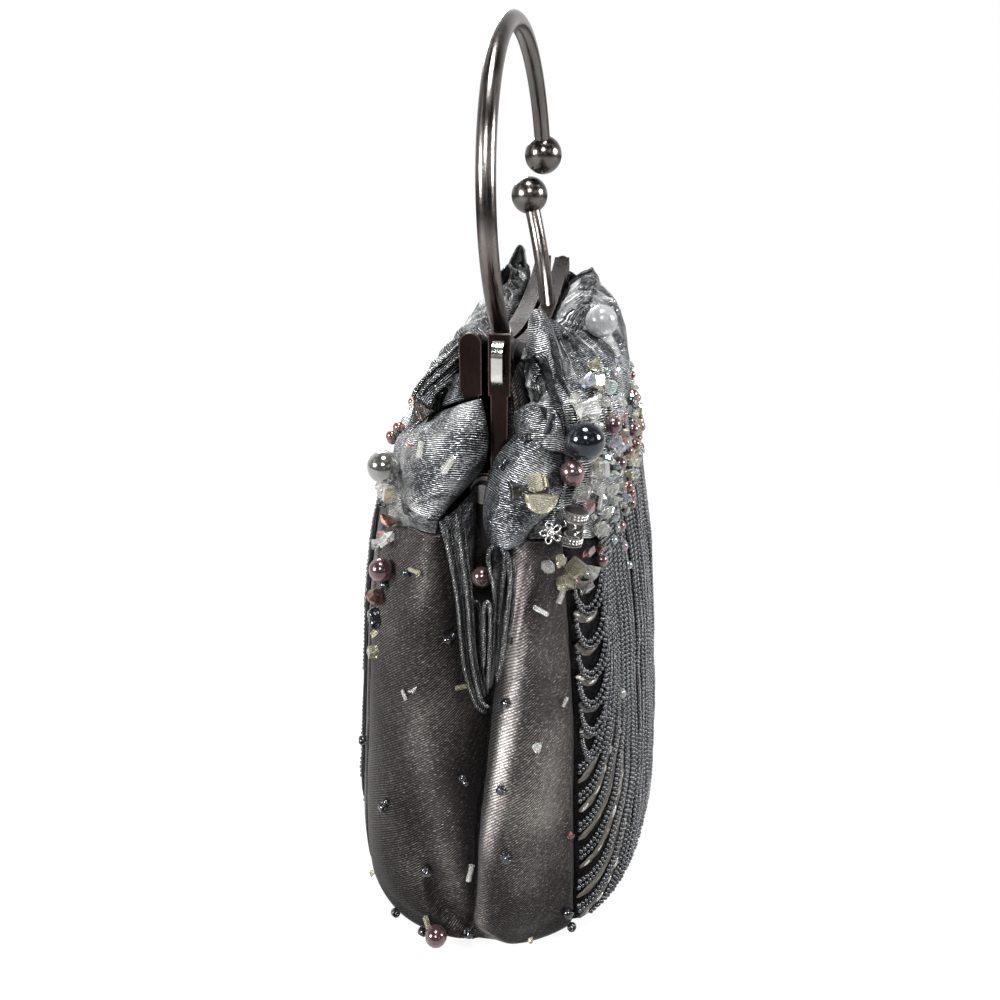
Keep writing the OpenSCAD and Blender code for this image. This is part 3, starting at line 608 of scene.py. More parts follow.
bottomPlan = {
    "columns": 160,
    "inset": 0.9,
    "thick": 1.2,
    "rings": [(1.0, 0.0), (0.985, 0.0), (0.94, 0.0), (0.8, 0.35), (0.55, 0.6), (0.25, 0.7), (0.02, 0.7)],
}
bottomTurns = [360*j/bottomPlan["columns"] for j in range(bottomPlan["columns"])]
bottomEdge = [bagWall(turn, 0.0, -bottomPlan["inset"]) for turn in bottomTurns]
bottomRows = [[Vector((p.x*share, p.y*share, z)) for p in bottomEdge] for share, z in bottomPlan["rings"]]
bottom = clothSheet("bottom_satin", bottomRows, bottomSatin, bottomPlan["thick"], flip=True, around=True)
liningPlan = {"columns": 180, "rows": 40, "low": 0.035, "high": 0.99, "inset": 2.6, "thick": 0.5}
liningRows = []
for i in range(liningPlan["rows"]+1):
    s = liningPlan["low"]+(liningPlan["high"]-liningPlan["low"])*i/liningPlan["rows"]
    turns = [360*j/liningPlan["columns"] for j in range(liningPlan["columns"])]
    liningRows.append([bagWall(turn, s, -liningPlan["inset"]) for turn in turns])
lining = clothSheet("lining_cloth", liningRows, liningWeave, liningPlan["thick"], around=True)
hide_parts("bottom_panel")
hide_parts("lining")
for piece in (nearEnd, farEnd, frontPanel, backPanel, bottom, lining):
    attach(piece, "bag")
print("bag shells lofted")


# Neck cloth, from the rim up to the bars, in gathers
framePlan = {"length": 135, "height": 165, "dip": 12}
barRadius = ((framePlan["length"]/2)**2+framePlan["dip"]**2)/(2*framePlan["dip"])
barCentre = framePlan["height"]-framePlan["dip"]+barRadius


def barTop(x):
    return barCentre-math.sqrt(barRadius**2-x*x)


neckPlan = {"length": 124, "columns": 150, "rows": 26, "gathers": 23, "depth": 0.9}


def neckRows(side):
    rows = []
    for i in range(neckPlan["rows"]+1):
        v = i/neckPlan["rows"]
        row = []
        for j in range(neckPlan["columns"]+1):
            t = j/neckPlan["columns"]
            u = math.radians(9+162*t)
            low = bagWall(math.degrees(math.pi+u), 0.955, -3.6)
            x = neckPlan["length"]/2*flatPower(-math.cos(u))
            high = Vector((x, -3.2, barTop(x)-1.7))
            bow = math.sin(math.pi*v)
            p = low.lerp(high, v**0.9)
            p.z += 5.5*bow*math.sin(u)+1.5*bow
            p.y -= 3.5*bow*math.sin(u)
            gather = math.sin(2*math.pi*neckPlan["gathers"]*t+2*softNoise(t*40, v, 0, 6, 5))
            p.y -= neckPlan["depth"]*gather*(0.35+0.65*v)*math.sin(math.pi*min(1, v+0.05))
            row.append(p)
        rows.append(row if side < 0 else halfTurned(row))
    return rows


neckFront = clothSheet("front_neck_cloth", neckRows(-1), neckSatin, 0.6)
neckBack = clothSheet("back_neck_cloth", neckRows(1), neckSatin, 0.6)
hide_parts("front_yoke")
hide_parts("back_yoke")


# Ribbon ruffles along the long sides
rufflePlan = {
    "front": {"side": -1, "seed": 3, "pleats": 17, "hemY": 29.5, "topOut": 11.0, "wave": 2.3, "roll": 3.0,
              "riseAt": [-1, -0.8, -0.4, 0, 0.35, 0.7, 1], "rises": [0, 2, 3, 5, 4, 1, -2],
              "sinks": [-2, -1, 0, 0, 0, -1, -2], "flankIn": 6.5, "shoulderIn": 12, "pinch": (67, 12.5, 143)},
    "back": {"side": 1, "seed": 8, "pleats": 15, "hemY": 28.5, "topOut": 6.0, "wave": 2.0, "roll": 2.0,
             "riseAt": [-1, -0.8, -0.4, 0, 0.35, 0.7, 1], "rises": [0, 0.5, 1, 2, 3, 3, 0],
             "sinks": [-14, -10, -5, -2, -1, -1, -2], "flankIn": 9.5, "shoulderIn": 14.5,
             "pinch": (66, 14, 144)},
    "columns": 420,
    "rows": 34,
}


def ruffleRows(plan):
    rows = []
    side = plan["side"]
    for i in range(rufflePlan["rows"]+1):
        v = i/rufflePlan["rows"]
        row = []
        for j in range(rufflePlan["columns"]+1):
            t = j/rufflePlan["columns"]
            u = math.radians(14+152*t)
            c, s = -flatPower(math.cos(u)), flatPower(math.sin(u))
            gatherX = 64*c
            near = c if side < 0 else -c
            z = barTop(gatherX)+smoothRow(plan["riseAt"], plan["sinks"], near)
            loose = softNoise(t*70, v*2, side*3, 5.0, plan["seed"])
            rise = smoothRow(plan["riseAt"], plan["rises"], near)+plan["roll"]*loose
            turn = 180+math.degrees(u)
            tip = easeIn(0.55, 1.0, abs(c))
            uneven = 0.010*softNoise(t*90, side, 2, 6, plan["seed"]+4)
            hem = bagWall(turn, 0.955+0.052*easeIn(0.72, 0.97, abs(c))+uneven, 1.3)
            rim = bagWall(turn, 1.0, 0.3)
            hem.y, rim.y = -hem.y, -rim.y
            rim.z += 4.5
            neck = Vector((77*c, 5+(plan["hemY"]-2.8)*s, 131.5))
            flank = Vector((75*c, 6+(plan["hemY"]-plan["flankIn"])*s, max(z-10.5+1.5*(1-s)-4*tip, 138)))
            shoulder = Vector((72*c, 7+(plan["hemY"]-plan["shoulderIn"])*s-3*tip*s, max(z-2.5-4*tip, 143)))
            crest = Vector((69*c, 7.4+(plan["topOut"]-1.5)*s, z+rise*0.75))
            top = Vector((66.5*c, 7.3+plan["topOut"]*(0.35+0.3*loose)*s, z+rise))
            gather = Vector((gatherX, 7.1, z-2.5))
            pinch = Vector((math.copysign(plan["pinch"][0], c), plan["pinch"][1], plan["pinch"][2]))
            drawn = easeIn(0.80, 1.0, abs(2*t-1))
            line = [hem, rim, neck, flank, shoulder, crest, top, gather]
            k = v*(len(line)-1)
            n = min(int(k), len(line)-2)
            p = splinePoint(line[max(n-1, 0)], line[n], line[n+1], line[min(n+2, len(line)-1)], k-n)
            swell = (0.5+0.5*easeIn(0.3, 0.8, v))*easeIn(1.02, 0.88, v)*(0.12+0.88*easeIn(0.05, 0.32, v))
            phase = 2*math.pi*plan["pleats"]*t+2.4*softNoise(t*60, v*3, 1, 7, plan["seed"]+2)
            wave = plan["wave"]*swell*(math.sin(phase)+0.35*math.sin(2.3*phase+1.3))
            p.y += wave*0.7
            p.x += 1.2*swell*math.cos(phase)
            p.z += wave*0.45*easeIn(0.35, 0.6, v)
            crumple = (1-2*abs(softNoise(p.x, p.y*1.5, p.z, 8, plan["seed"])))**3
            p.y += 0.9*crumple*swell
            p = p.lerp(pinch+(p-pinch)*0.35, drawn*easeIn(0.3, 0.62, v))
            p.y = max(p.y, 6.9)
            if v < 0.16:
                p.y += 0.5*max(0, math.sin(phase))
            row.append(Vector((p.x, p.y*side, p.z)) if side < 0 else Vector((-p.x, p.y, p.z)))
        rows.append(row)
    return rows


ruffles, ruffleEdges = {}, {}
for label in ("front", "back"):
    rows = ruffleRows(rufflePlan[label])
    ruffles[label] = clothSheet(label+"_ruffle_ribbon", rows, ribbon, 0.35)
    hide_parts(label+"_ruffle")
    shift = Vector((0, 0.25*rufflePlan[label]["side"], 0.4))
    crest = [p+shift for p in rows[round(rufflePlan["rows"]*0.74)][2:-2:2]]
    ruffleEdges[label] = cordMesh(label+"_ruffle_braid", [crest], 1.5, braid, 8, 0.9, 0.3, 4)
ruffleFront, ruffleBack = ruffles["front"], ruffles["back"]
print("neck and ruffles gathered")


# Ribbon folds at the near end, where the photograph shows them (pixel and depth); the far end gets twins
def pixelPatch(rows):
    return [[pixelAt(px, py, x) for px, py, x in row] for row in rows]


foldPlan = {
    "left": [
        [(432, 416, -66), (448, 409, -69), (465, 403, -70), (481, 399, -68.8)],
        [(418, 426, -67), (440, 424, -72), (465, 420, -73.5), (486, 420, -70)],
        [(407, 438, -67), (432, 442, -74), (462, 442, -76), (489, 445, -71)],
        [(400, 452, -67), (424, 462, -75.5), (455, 466, -78), (484, 468, -72.5)],
        [(396, 468, -68), (416, 483, -76.5), (443, 489, -79.5), (468, 487, -75)],
        [(397, 482, -69), (412, 499, -77), (433, 508, -80), (452, 504, -78)],
        [(399, 495, -70), (410, 510, -77), (424, 519, -80), (439, 521, -80)],
    ],
    "flap": [
        [(414, 397, -66.5), (419, 401, -67.5), (426, 406, -68.5), (434, 412, -69.5)],
        [(413, 404, -66.5), (418, 407, -67.5), (424, 411, -68.5), (431, 415, -69.5)],
        [(413, 412, -66.5), (416, 414, -67.5), (421, 416, -68.5), (427, 418, -69.5)],
        [(413, 421, -66.5), (415, 422, -67.5), (418, 422, -68.5), (422, 422, -69.5)],
    ],
    "loop": [
        [(466, 340, -56), (453, 353, -59), (440, 365, -62),
         (428, 377, -64.5), (419, 388, -66), (414, 399, -67)],
        [(468, 352, -57), (456, 362, -60), (444, 373, -63),
         (433, 383, -65.5), (424, 392, -67), (418, 402, -68)],
        [(469, 364, -57), (459, 371, -60), (448, 380, -63.5),
         (438, 388, -66), (430, 395, -67.5), (424, 405, -68.5)],
        [(470, 374, -56), (462, 378, -59), (452, 383, -63),
         (443, 388, -65.5), (435, 396, -67), (430, 407, -68.5)],
    ],
    "inner": [
        [(447, 382, -58), (453, 376, -61), (459, 373, -62), (464, 372, -61)],
        [(441, 392, -59), (449, 386, -64), (457, 382, -66), (465, 381, -64)],
        [(437, 402, -60), (446, 396, -66), (456, 392, -68), (466, 391, -66)],
        [(435, 412, -61), (445, 407, -67), (456, 403, -69), (467, 402, -67)],
    ],
    "leftUnder": [
        [(400, 470, -64), (410, 490, -72), (425, 505, -76), (440, 512, -77)],
        [(396, 484, -65), (404, 502, -73), (420, 514, -77), (438, 520, -78)],
        [(400, 503, -66), (406, 516, -73), (420, 521, -77), (436, 524, -78)],
    ],
    "right": [
        [(524, 428, -69), (540, 434, -71), (556, 442, -70), (572, 452, -66)],
        [(506, 444, -71), (526, 451, -75), (548, 461, -75), (570, 470, -68)],
        [(494, 460, -72.5), (514, 470, -78), (540, 480, -78), (566, 487, -70)],
        [(487, 480, -74), (505, 491, -80), (530, 499, -80.5), (562, 502, -72)],
        [(483, 503, -76), (500, 513, -81), (522, 519, -82), (552, 514, -75)],
        [(483, 526, -78), (496, 534, -82), (514, 537, -83), (536, 524, -79)],
        [(488, 543, -80), (498, 549, -82), (508, 551, -83), (522, 546, -81)],
    ],
    "rightUpper": [
        [(514, 412, -67.5), (530, 403, -68), (550, 399, -68), (566, 405, -64)],
        [(513, 424, -68), (532, 417, -70.5), (553, 415, -70.5), (572, 420, -65)],
        [(516, 436, -69), (534, 434, -72.5), (556, 434, -72), (575, 440, -65)],
        [(520, 448, -69), (537, 452, -73), (558, 453, -73), (578, 460, -66)],
    ],
    "tip": [
        [(525, 396, -62), (538, 401, -64), (554, 400, -63), (568, 388, -57)],
        [(523, 374, -60), (536, 378, -64), (553, 376, -63), (567, 365, -56)],
        [(525, 350, -59), (535, 353, -62.5), (549, 350, -61.5), (558, 343, -56)],
        [(527, 330, -58), (534, 331, -61), (544, 328, -60.5), (551, 325, -56)],
        [(529, 314, -57.5), (534, 310, -59), (540, 309, -59), (545, 313, -56.5)],
    ],
    "tipBehind": [
        [(556, 384, -48), (566, 392, -50), (578, 390, -47), (584, 378, -42)],
        [(552, 362, -47), (562, 366, -50), (573, 364, -47), (580, 354, -42)],
        [(549, 340, -46), (556, 342, -48.5), (564, 341, -47), (572, 336, -43)],
        [(546, 320, -45), (551, 320, -46.5), (556, 321, -46), (562, 326, -44)],
    ],
    "hang": [
        [(440, 520, -79), (453, 512, -78), (466, 498, -75.5), (478, 484, -72)],
        [(446, 540, -78.5), (456, 534, -78), (467, 520, -76), (477, 506, -73)],
        [(452, 562, -78), (459, 558, -77.5), (468, 548, -76), (476, 536, -74)],
        [(457, 585, -77.5), (462, 584, -77), (468, 578, -76), (474, 568, -75)],
        [(461, 603, -77), (464, 606, -77), (468, 604, -76.5), (472, 598, -76)],
    ],
    "hangRight": [
        [(508, 552, -80), (503, 548, -79), (497, 545, -77.5), (491, 540, -76)],
        [(506, 572, -79.5), (502, 570, -79), (497, 568, -77.5), (492, 562, -76)],
        [(504, 596, -79), (501, 598, -78.5), (497, 598, -77), (494, 592, -76)],
        [(502, 618, -78.5), (500, 622, -78.5), (498, 623, -78), (496, 620, -77)],
    ],
}


def foldOwners(name):  # the bodies that carry the near fold and its twin at the far end
    if name in ("hang", "hangRight"):
        return "bag", "bag"
    front = name in ("right", "rightUpper", "tip", "tipBehind")
    return ("front_half", "back_half") if front else ("back_half", "front_half")


# folds lying in shade take the darker ribbon copies: painted shade
foldCloth = {"flap": flapSatin, "left": ribbon, "right": ribbonMid, "rightUpper": ribbon, "tip": ribbon}
foldPieces = {}
for foldName, foldGrid in foldPlan.items():
    grid = patchRows(pixelPatch(foldGrid), 9)
    seed = len(foldName)
    for i, row in enumerate(grid):
        for j, p in enumerate(row):
            edge = min(i, len(grid)-1-i, j, len(row)-1-j)
            ridge = (1-2*abs(softNoise(p.x*0.3, p.y+0.6*p.z, p.z*0.8, 9, seed)))**3
            ridge += 0.6*(1-2*abs(softNoise(p.x*0.3, p.y-0.9*p.z, p.z, 5, seed+4)))**3
            p.x += 0.5*math.exp(-edge/1.6)-0.85*ridge*min(1, edge/3)
            p.x += 0.5*softNoise(p.x, p.y, p.z, 3.2, seed)*min(1, edge/2)
    a, b = grid[len(grid)//2], grid[len(grid)//2+1]
    m = len(a)//2
    facing = (a[m+1]-a[m]).cross(b[m]-a[m]).dot(Vector(cameraPlan["place"])-a[m]) > 0
    tone = foldCloth.get(foldName, ribbonPaintedShade)
    foldPieces[foldName] = [clothSheet(end+"_fold_"+foldName, rows, tone, 0.5, not facing)
                            for end, rows in (("near", grid), ("far", [halfTurned(row) for row in grid]))]


def endCords(name, lines, width, seed):  # braided cords at the near end and their twins at the far end
    pair = []
    for end, some in (("near", lines), ("far", [halfTurned(line) for line in lines])):
        pair.append(cordMesh(end+name, some, width, braid, 8, 0.9, 0.3 if seed else 0.25, seed))
    return pair


loopGrid = pixelPatch(foldPlan["loop"])
loopLines = [curveThrough([p+Vector((-0.4, 0.2, 0.3)) for p in loopGrid[k]], 8) for k in (0, 1, 3)]
loopNear, loopFar = endCords("_loop_braid", loopLines, 1.15, 7)
print("ribbon folds laid")


# The braided edges of the ribbon tail, hanging in the crease
tailPlan = {"width": 1.15, "lines": [
    [(440, 521), (447, 545), (453, 574), (458, 605), (461, 640), (466, 676), (476, 704), (485, 713)],
    [(447, 516), (452, 540), (457, 570), (462, 602), (465, 640), (469, 676), (478, 703), (487, 712)],
    [(456, 514), (460, 545), (465, 578), (468, 608), (470, 640), (474, 672), (481, 700), (489, 708)],
    [(463, 520), (466, 552), (470, 585), (472, 612), (474, 645), (478, 672), (485, 697)],
    [(471, 612), (474, 603), (479, 606), (480, 632), (481, 655), (483, 676), (488, 694)],
    [(484, 668), (484, 640), (484, 612), (487, 602), (490, 610), (490, 640), (489, 668), (488, 690)],
    [(493, 545), (488, 556), (490, 572), (494, 590), (494, 612), (493, 640), (492, 668), (490, 688)],
    [(500, 548), (505, 556), (503, 575), (500, 596), (498, 620), (497, 650), (495, 676)],
    [(508, 552), (510, 585), (507, 612), (504, 640), (501, 662), (497, 682)],
    [(513, 560), (514, 590), (511, 618), (508, 640), (504, 660)],
]}


def treeOf(things):  # a search tree over several pieces, with the owner of each face
    points, faces, owners = [], [], []
    for thing in things:
        start = len(points)
        points += [v.co/mm for v in thing.data.vertices]
        for polygon in thing.data.polygons:
            faces.append([start+v for v in polygon.vertices])
            owners.append(thing)
    return BVHTree.FromPolygons(points, faces), owners


bagTree, _ = treeOf([nearEnd, farEnd, frontPanel, backPanel])


tailLines = []
for n, line in enumerate(tailPlan["lines"]):
    points = []
    for px, py in line:
        x = -83.5+1.6*math.sin(n*2.1)-0.9*(py > 650)
        p = pixelAt(px, py, x)
        hit = bagTree.ray_cast(Vector((-140, p.y, p.z)), Vector((1, 0, 0)), 100)
        if hit[0]:
            p.x = min(p.x, hit[0].x-1.1)
        points.append(p)
    tailLines.append(curveThrough(points, 9))
tailNear, tailFar = endCords("_ribbon_tail", tailLines, tailPlan["width"], 0)
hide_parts("ribbon_tail")
print("tail braided")


# How open each point of the cloth lies, from a few rays into the air above it; the cloth's colour is darkened
# by it as painted shade, also where the rays reach the floor
skyPlan = {"rays": 18, "quickRays": 6, "spray": 64, "reach": 34, "lift": 0.5, "lean": 1.05, "near": 0.6,
           "floorReach": 190, "floorLight": 0.1}


def measureSky(pieces, blockers):
    tree, _ = treeOf(blockers)
    rng = random.Random(5)
    spray = [randomWay(rng) for _ in range(skyPlan["spray"])]
    total = skyPlan["rays"]
    for piece in pieces:
        mesh = piece.data
        layer = mesh.attributes.new("open", "FLOAT", "POINT")
        shares = []
        for v in mesh.vertices:
            normal = v.normal
            start = v.co/mm+normal*skyPlan["lift"]
            clear = 0.0
            for k in range(total):
                ray = (spray[(v.index*7+k*5) % skyPlan["spray"]]+normal*skyPlan["lean"]).normalized()
                hit = tree.ray_cast(start, ray, skyPlan["reach"])
                if hit[0] is not None:
                    clear += min(1, hit[3]/skyPlan["reach"])*skyPlan["near"]
                elif start.z+ray.z*skyPlan["floorReach"] > 0:
                    clear += 1
                else:
                    clear += skyPlan["floorLight"]
            shares.append(clear/total)
        layer.data.foreach_set("value", shares)


skyPieces = [nearEnd, farEnd, frontPanel, backPanel, bottom, neckFront, neckBack, ruffleFront, ruffleBack]
skyPieces += [tailNear, tailFar]+[piece for pair in foldPieces.values() for piece in pair]
skyPieces += [*ruffleEdges.values(), loopNear, loopFar]
measureSky(skyPieces, [p for p in skyPieces if p is not bottom])


def paintRidgeHighlight(piece):  # painted highlight along the right lobe's inner ridge, with a broad painted sheen on the right lobe and a slanted one on the left lobe
    layer = piece.data.attributes.new("paintedHighlight", "FLOAT", "POINT")
    shares = []
    for v in piece.data.vertices:
        p = v.co/mm
        s = p.z/bagPlan["rim"]
        across = -p.y*(-1 if p.x < 0 else 1)
        far = across-creaseSize("creaseY", s)
        peak = smoothRow([0, 0.2, 0.35, 0.5, 0.7, 1], [-2.2, -2.9, -3.9, -5.2, -6.4, -7.5], s)
        ridge = math.exp(-((far-peak)/(1.7 if far > peak else 2.3))**2)
        ridge *= smoothRow([0, 0.1, 0.3, 0.5, 0.75, 0.95, 1], [0, 0.2, 0.4, 0.9, 1.4, 1.4, 0.8], s)
        broad = 0.10*math.exp(-((far+17)/8)**2)*smoothRow([0, 0.2, 0.45, 0.8, 1], [0.1, 0.5, 1, 0.8, 0.3], s)
        slant = math.exp(-((far-smoothRow([0, 0.25, 0.5, 0.8], [3, 6, 15, 22], s))/4.5)**2)
        slant *= smoothRow([0, 0.2, 0.42, 0.6, 0.8], [0, 0.06, 0.12, 0.05, 0], s)
        shares.append(max(ridge*(0.75+0.5*softNoise(p.x, p.y, p.z*0.4, 6, 9)), slant, broad))
    layer.data.foreach_set("value", shares)


paintRidgeHighlight(nearEnd)
paintRidgeHighlight(farEnd)
print("folds shaded")


# Lines that the strands and bands on the panels follow: turn from the seam and height
swagPlan = {
    "out": 1.0,
    "seamLines": [(54, 14, 34), (45, 16, 33), (36, 18, 33), (27, 21, 34), (18, 24, 36), (10, 27, 38)],
    "bottomLines": [(37, 25, 42), (44, 22, 46), (51, 18.5, 50), (58.5, 14.5, 54), (66, 10.2, 58),
                    (73.5, 5.7, 62), (81, 1.6, 66)],
    "scallops": [(103, 15), (94, 15), (85.5, 14.5), (77, 14), (69, 13), (61.5, 12)],
    "top": 115.5,
    "backBorder": 66,
    "backMiddle": (84.3, 86.2, 88.1),
    "bandWidth": 2.6,
    "bandFlat": 0.26,
    "bandFray": 0.35,
    "seed": (1.55, 1.32*1.02, 1.32),  # width, length and pitch of the beads on a strand
    "bugle": (1.15, 3.4, 5.2),
}


def panelPoint(front, fromSeam, z, out):  # fromSeam counts from the near end's middle, in degrees
    u = 180+fromSeam if front else 180-fromSeam
    return bagWall(u, min(max(z/bagPlan["rim"], 0), 1), out)


def swagLine(front, mirror, seamTurn, seamHeight, width, height, out, shift=0.0):
    border = 0 if front else swagPlan["backBorder"]
    line = []
    for k in range(26):
        t = math.pi/2*k/25
        line.append((seamTurn+width*math.sin(t), seamHeight+height*(1-math.cos(t))))
    top = swagPlan["top"]
    high = line[-1]
    for k in range(1, 15):
        t = k/14
        line.append((high[0]+1.2*t, high[1]+(top-high[1])*t))
    made = []
    for turn, z in line:
        turn += shift+1.3*softNoise(turn*0.8, z, seamTurn, 13, 2)*min(1, (90-turn)/12)
        turn = min(turn, 89.3)
        if turn < border:
            continue
        turn = 180-turn if mirror else turn
        p = panelPoint(front, turn, z, out+0.35*softNoise(turn, z, 3, 9))
        made.append(p)
    return made


def scallopLine(z, width, out, inset=0.0, tongue=False):
    w = width-inset*0.9
    if tongue:
        shape = [(0.2, 1.2), (w*0.3, -1.8), (w*0.62, -2.6), (w*0.86, 0.3)]
    else:
        shape = [(0, 0), (w*0.14, -5.0), (w*0.45, -7.6), (w*0.8, -5.4), (w, -0.5), (w*1.03, 4.0)]
    start = bagPlan["seam"]+0.8
    return curveThrough([panelPoint(True, turn+start, z+drop+inset, out) for turn, drop in shape], 5)


def panelLines(front):  # centre lines of the strands and of the bands between them
    strands, bandLines = [], []
    out = swagPlan["out"]

    def addSwag(lines, *shape):
        lines.append(swagLine(front, mirror, *shape))

    for mirror in (False, True):
        wrapped = mirror and front
        shift = bagPlan["wrap"]-bagPlan["seam"] if wrapped else 0
        start = bagPlan["seam"]+0.4
        for z, width, height in swagPlan["seamLines"]:
            width -= shift*0.6
            addSwag(strands, start, z, width, height, out+0.5, shift)
            addSwag(strands, start, z-2.0, width+1.1, height, out+0.4, shift)
            addSwag(bandLines, start, z-5.6, width+2.9, height, out-0.1, shift)
        for turn, width, height in swagPlan["bottomLines"]:
            turn, width = (turn+shift*(90-turn)/58, width*0.8) if wrapped else (turn, width)
            for step in (0, 3.7):
                addSwag(strands, turn+step, 4.5, width, height, out+0.5)
                addSwag(bandLines, turn+step+1.85, 4.0, width, height, out-0.3)
        for turn in () if front else swagPlan["backMiddle"]:
            addSwag(strands, turn, 4.5, 0.6, 70, out+0.5)
            addSwag(bandLines, turn+0.9, 4.0, 0.6, 70, out-0.3)
        for z, width in swagPlan["scallops"] if front and not mirror else []:
            strands.append(scallopLine(z, width, out+0.8))
            strands.append(scallopLine(z, width, out+0.6, 1.7))
            bandLines.append(scallopLine(z, width, out+0.1, 2.2, True))
    return [[line for line in lines if len(line) > 3] for lines in (strands, bandLines)]


def beadTree(name, sides, rings):  # strings beads along every line of a mesh
    tree = bpy.data.node_groups.new(name, "GeometryNodeTree")
    for way in ("OUTPUT", "INPUT"):
        tree.interface.new_socket("Geometry", in_out=way, socket_type="NodeSocketGeometry")
    ids = {}
    for label, kind in (("Bead Width", "Float"), ("Bead Length", "Float"), ("Pitch", "Float"),
                        ("Unevenness", "Float"), ("Seed", "Int"), ("Finish", "Material")):
        made = tree.interface.new_socket(label, in_out="INPUT", socket_type="NodeSocket"+kind)
        ids[label] = made.identifier
    kit = NodeKit(tree)
    given = kit.add("NodeGroupInput").outputs
    lines = kit.add("GeometryNodeMeshToCurve", {"Mesh": given["Geometry"]}).outputs["Curve"]
    even = kit.add("GeometryNodeResampleCurve", {"Curve": lines, "Length": given["Pitch"]}, mode="LENGTH")
    bead = kit.add("GeometryNodeMeshUVSphere", {"Segments": sides, "Rings": rings, "Radius": 0.5})
    tangent = kit.add("GeometryNodeInputTangent").outputs["Tangent"]
    aim = kit.add("FunctionNodeAlignRotationToVector", {"Vector": tangent}, axis="Z")
    chance = kit.add("FunctionNodeRandomValue", {"Seed": given["Seed"]}, data_type="FLOAT")
    low, high = [k for k, socket in enumerate(chance.inputs) if socket.type == "VALUE"][:2]
    kit.fill(chance, {low: kit.maths("SUBTRACT", 1.0, given["Unevenness"]),
                      high: kit.maths("ADD", 1.0, given["Unevenness"])})
    share = [socket for socket in chance.outputs if socket.type == "VALUE"][0]
    size = kit.add("ShaderNodeCombineXYZ", {"X": given["Bead Width"], "Y": given["Bead Width"],
                                            "Z": given["Bead Length"]}).outputs["Vector"]
    place = kit.add("GeometryNodeInstanceOnPoints", {
        "Points": even.outputs["Curve"], "Instance": bead.outputs["Mesh"],
        "Rotation": aim.outputs["Rotation"], "Scale": kit.vectors("SCALE", size, share).outputs["Vector"]})
    smooth = kit.add("GeometryNodeSetShadeSmooth", {"Geometry": place.outputs["Instances"]})
    real = kit.add("GeometryNodeRealizeInstances", {"Geometry": smooth.outputs["Geometry"]})
    finish = kit.add("GeometryNodeSetMaterial",
                     {"Geometry": real.outputs["Geometry"], "Material": given["Finish"]})
    kit.add("NodeGroupOutput", {"Geometry": finish.outputs["Geometry"]})
    return tree, ids


stringTree, stringIds = beadTree("stringBeads", 8, 5)


def stringBeads(name, lines, width, length, pitch, material, seed=1, uneven=0.09):
    mesh = bpy.data.meshes.new(name)
    points, edges = [], []
    for line in lines:
        start = len(points)
        points += [p*mm for p in line]
        edges += [(start+k, start+k+1) for k in range(len(line)-1)]
    mesh.from_pydata(points, edges, [])
    thing = addObject(name, mesh, None)
    modifier = thing.modifiers.new("strung", "NODES")
    modifier.node_group = stringTree
    for label, value in (("Bead Width", width*mm), ("Bead Length", length*mm), ("Pitch", pitch*mm),
                         ("Unevenness", uneven), ("Seed", seed), ("Finish", material)):
        modifier[stringIds[label]] = value
    depsgraph = bpy.context.evaluated_depsgraph_get()
    made = bpy.data.meshes.new_from_object(thing.evaluated_get(depsgraph), depsgraph=depsgraph)
    thing.modifiers.clear()
    thing.data = made
    bpy.data.meshes.remove(mesh)
    made.name = name
    return thing


bands = {}
for label, strandSeed, bandSeed in (("front", 4, 5), ("back", 9, 11)):
    strands, bandLines = panelLines(label == "front")
    # the front's strands are two pieces, because one would have too many faces
    split = {"strands": strands[0::2], "swags": strands[1::2]} if label == "front" else {"strands": strands}
    made = [stringBeads(label+"_bead_"+ending, lines, *swagPlan["seed"], seedDark, strandSeed)
            for ending, lines in split.items()]
    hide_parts(label+"_bead_field")
    bandLong = [curveThrough(line[::2], 3) for line in bandLines]
    bands[label] = cordMesh(label+"_organza_bands", bandLong, swagPlan["bandWidth"], organza, 8,
                            swagPlan["bandFlat"], swagPlan["bandFray"], bandSeed)
    bugleLines = [line[2:18] for line in bandLines[1::2]]
    bugles = stringBeads(label+"_bugles", bugleLines, *swagPlan["bugle"], bugleGrey, 6, 0.25)
    for piece in (*made, bands[label], bugles):
        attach(piece, "bag")
borderPlan = {"outside": 0.6, "low": 3, "long": 112, "steps": 40, "out": 1.0, "width": 2.0}
borderTurn = swagPlan["backBorder"]-borderPlan["outside"]
borderLines = []
for turn in (borderTurn, 180-borderTurn):
    borderLines.append([panelPoint(False, turn, borderPlan["low"]+borderPlan["long"]*k/borderPlan["steps"],
                                   borderPlan["out"]) for k in range(borderPlan["steps"]+1)])
border = cordMesh("back_border_braid", borderLines, borderPlan["width"], braid, 8, 0.7, 0.2, 13)
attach(border, "bag")
print("panels beaded")


# Loose beads: unit shapes, sewn one by one where the photograph shows them
def randomLean(rng):
    return Vector((rng.uniform(-1, 1), rng.uniform(-1, 1), rng.uniform(-1, 1)))


def onCircle(k, count, radius=1.0, z=0.0):
    turn = 2*math.pi*k/count
    return Vector((radius*math.cos(turn), radius*math.sin(turn), z))


def joined(parts):  # several shapes as one
    points, faces = [], []
    for some, around in parts:
        start = len(points)
        points += some
        faces += [tuple(start+k for k in face) for face in around]
    return points, faces


def moved(shape, place, scale):
    points, faces = shape
    return [place+Vector((p.x*scale[0], p.y*scale[1], p.z*scale[2])) for p in points], faces


def ballShape(rings=10, sides=16):
    points = [Vector((0, 0, 1))]
    for i in range(1, rings):
        a = math.pi*i/rings
        points += [onCircle(j, sides, math.sin(a), math.cos(a)) for j in range(sides)]
    points.append(Vector((0, 0, -1)))
    last = len(points)-1
    faces = ringFaces(rings-1, sides, 1)
    for j in range(sides):
        k = (j+1) % sides
        faces += [(0, 1+k, 1+j), (last, last-sides+j, last-sides+k)]
    return points, faces


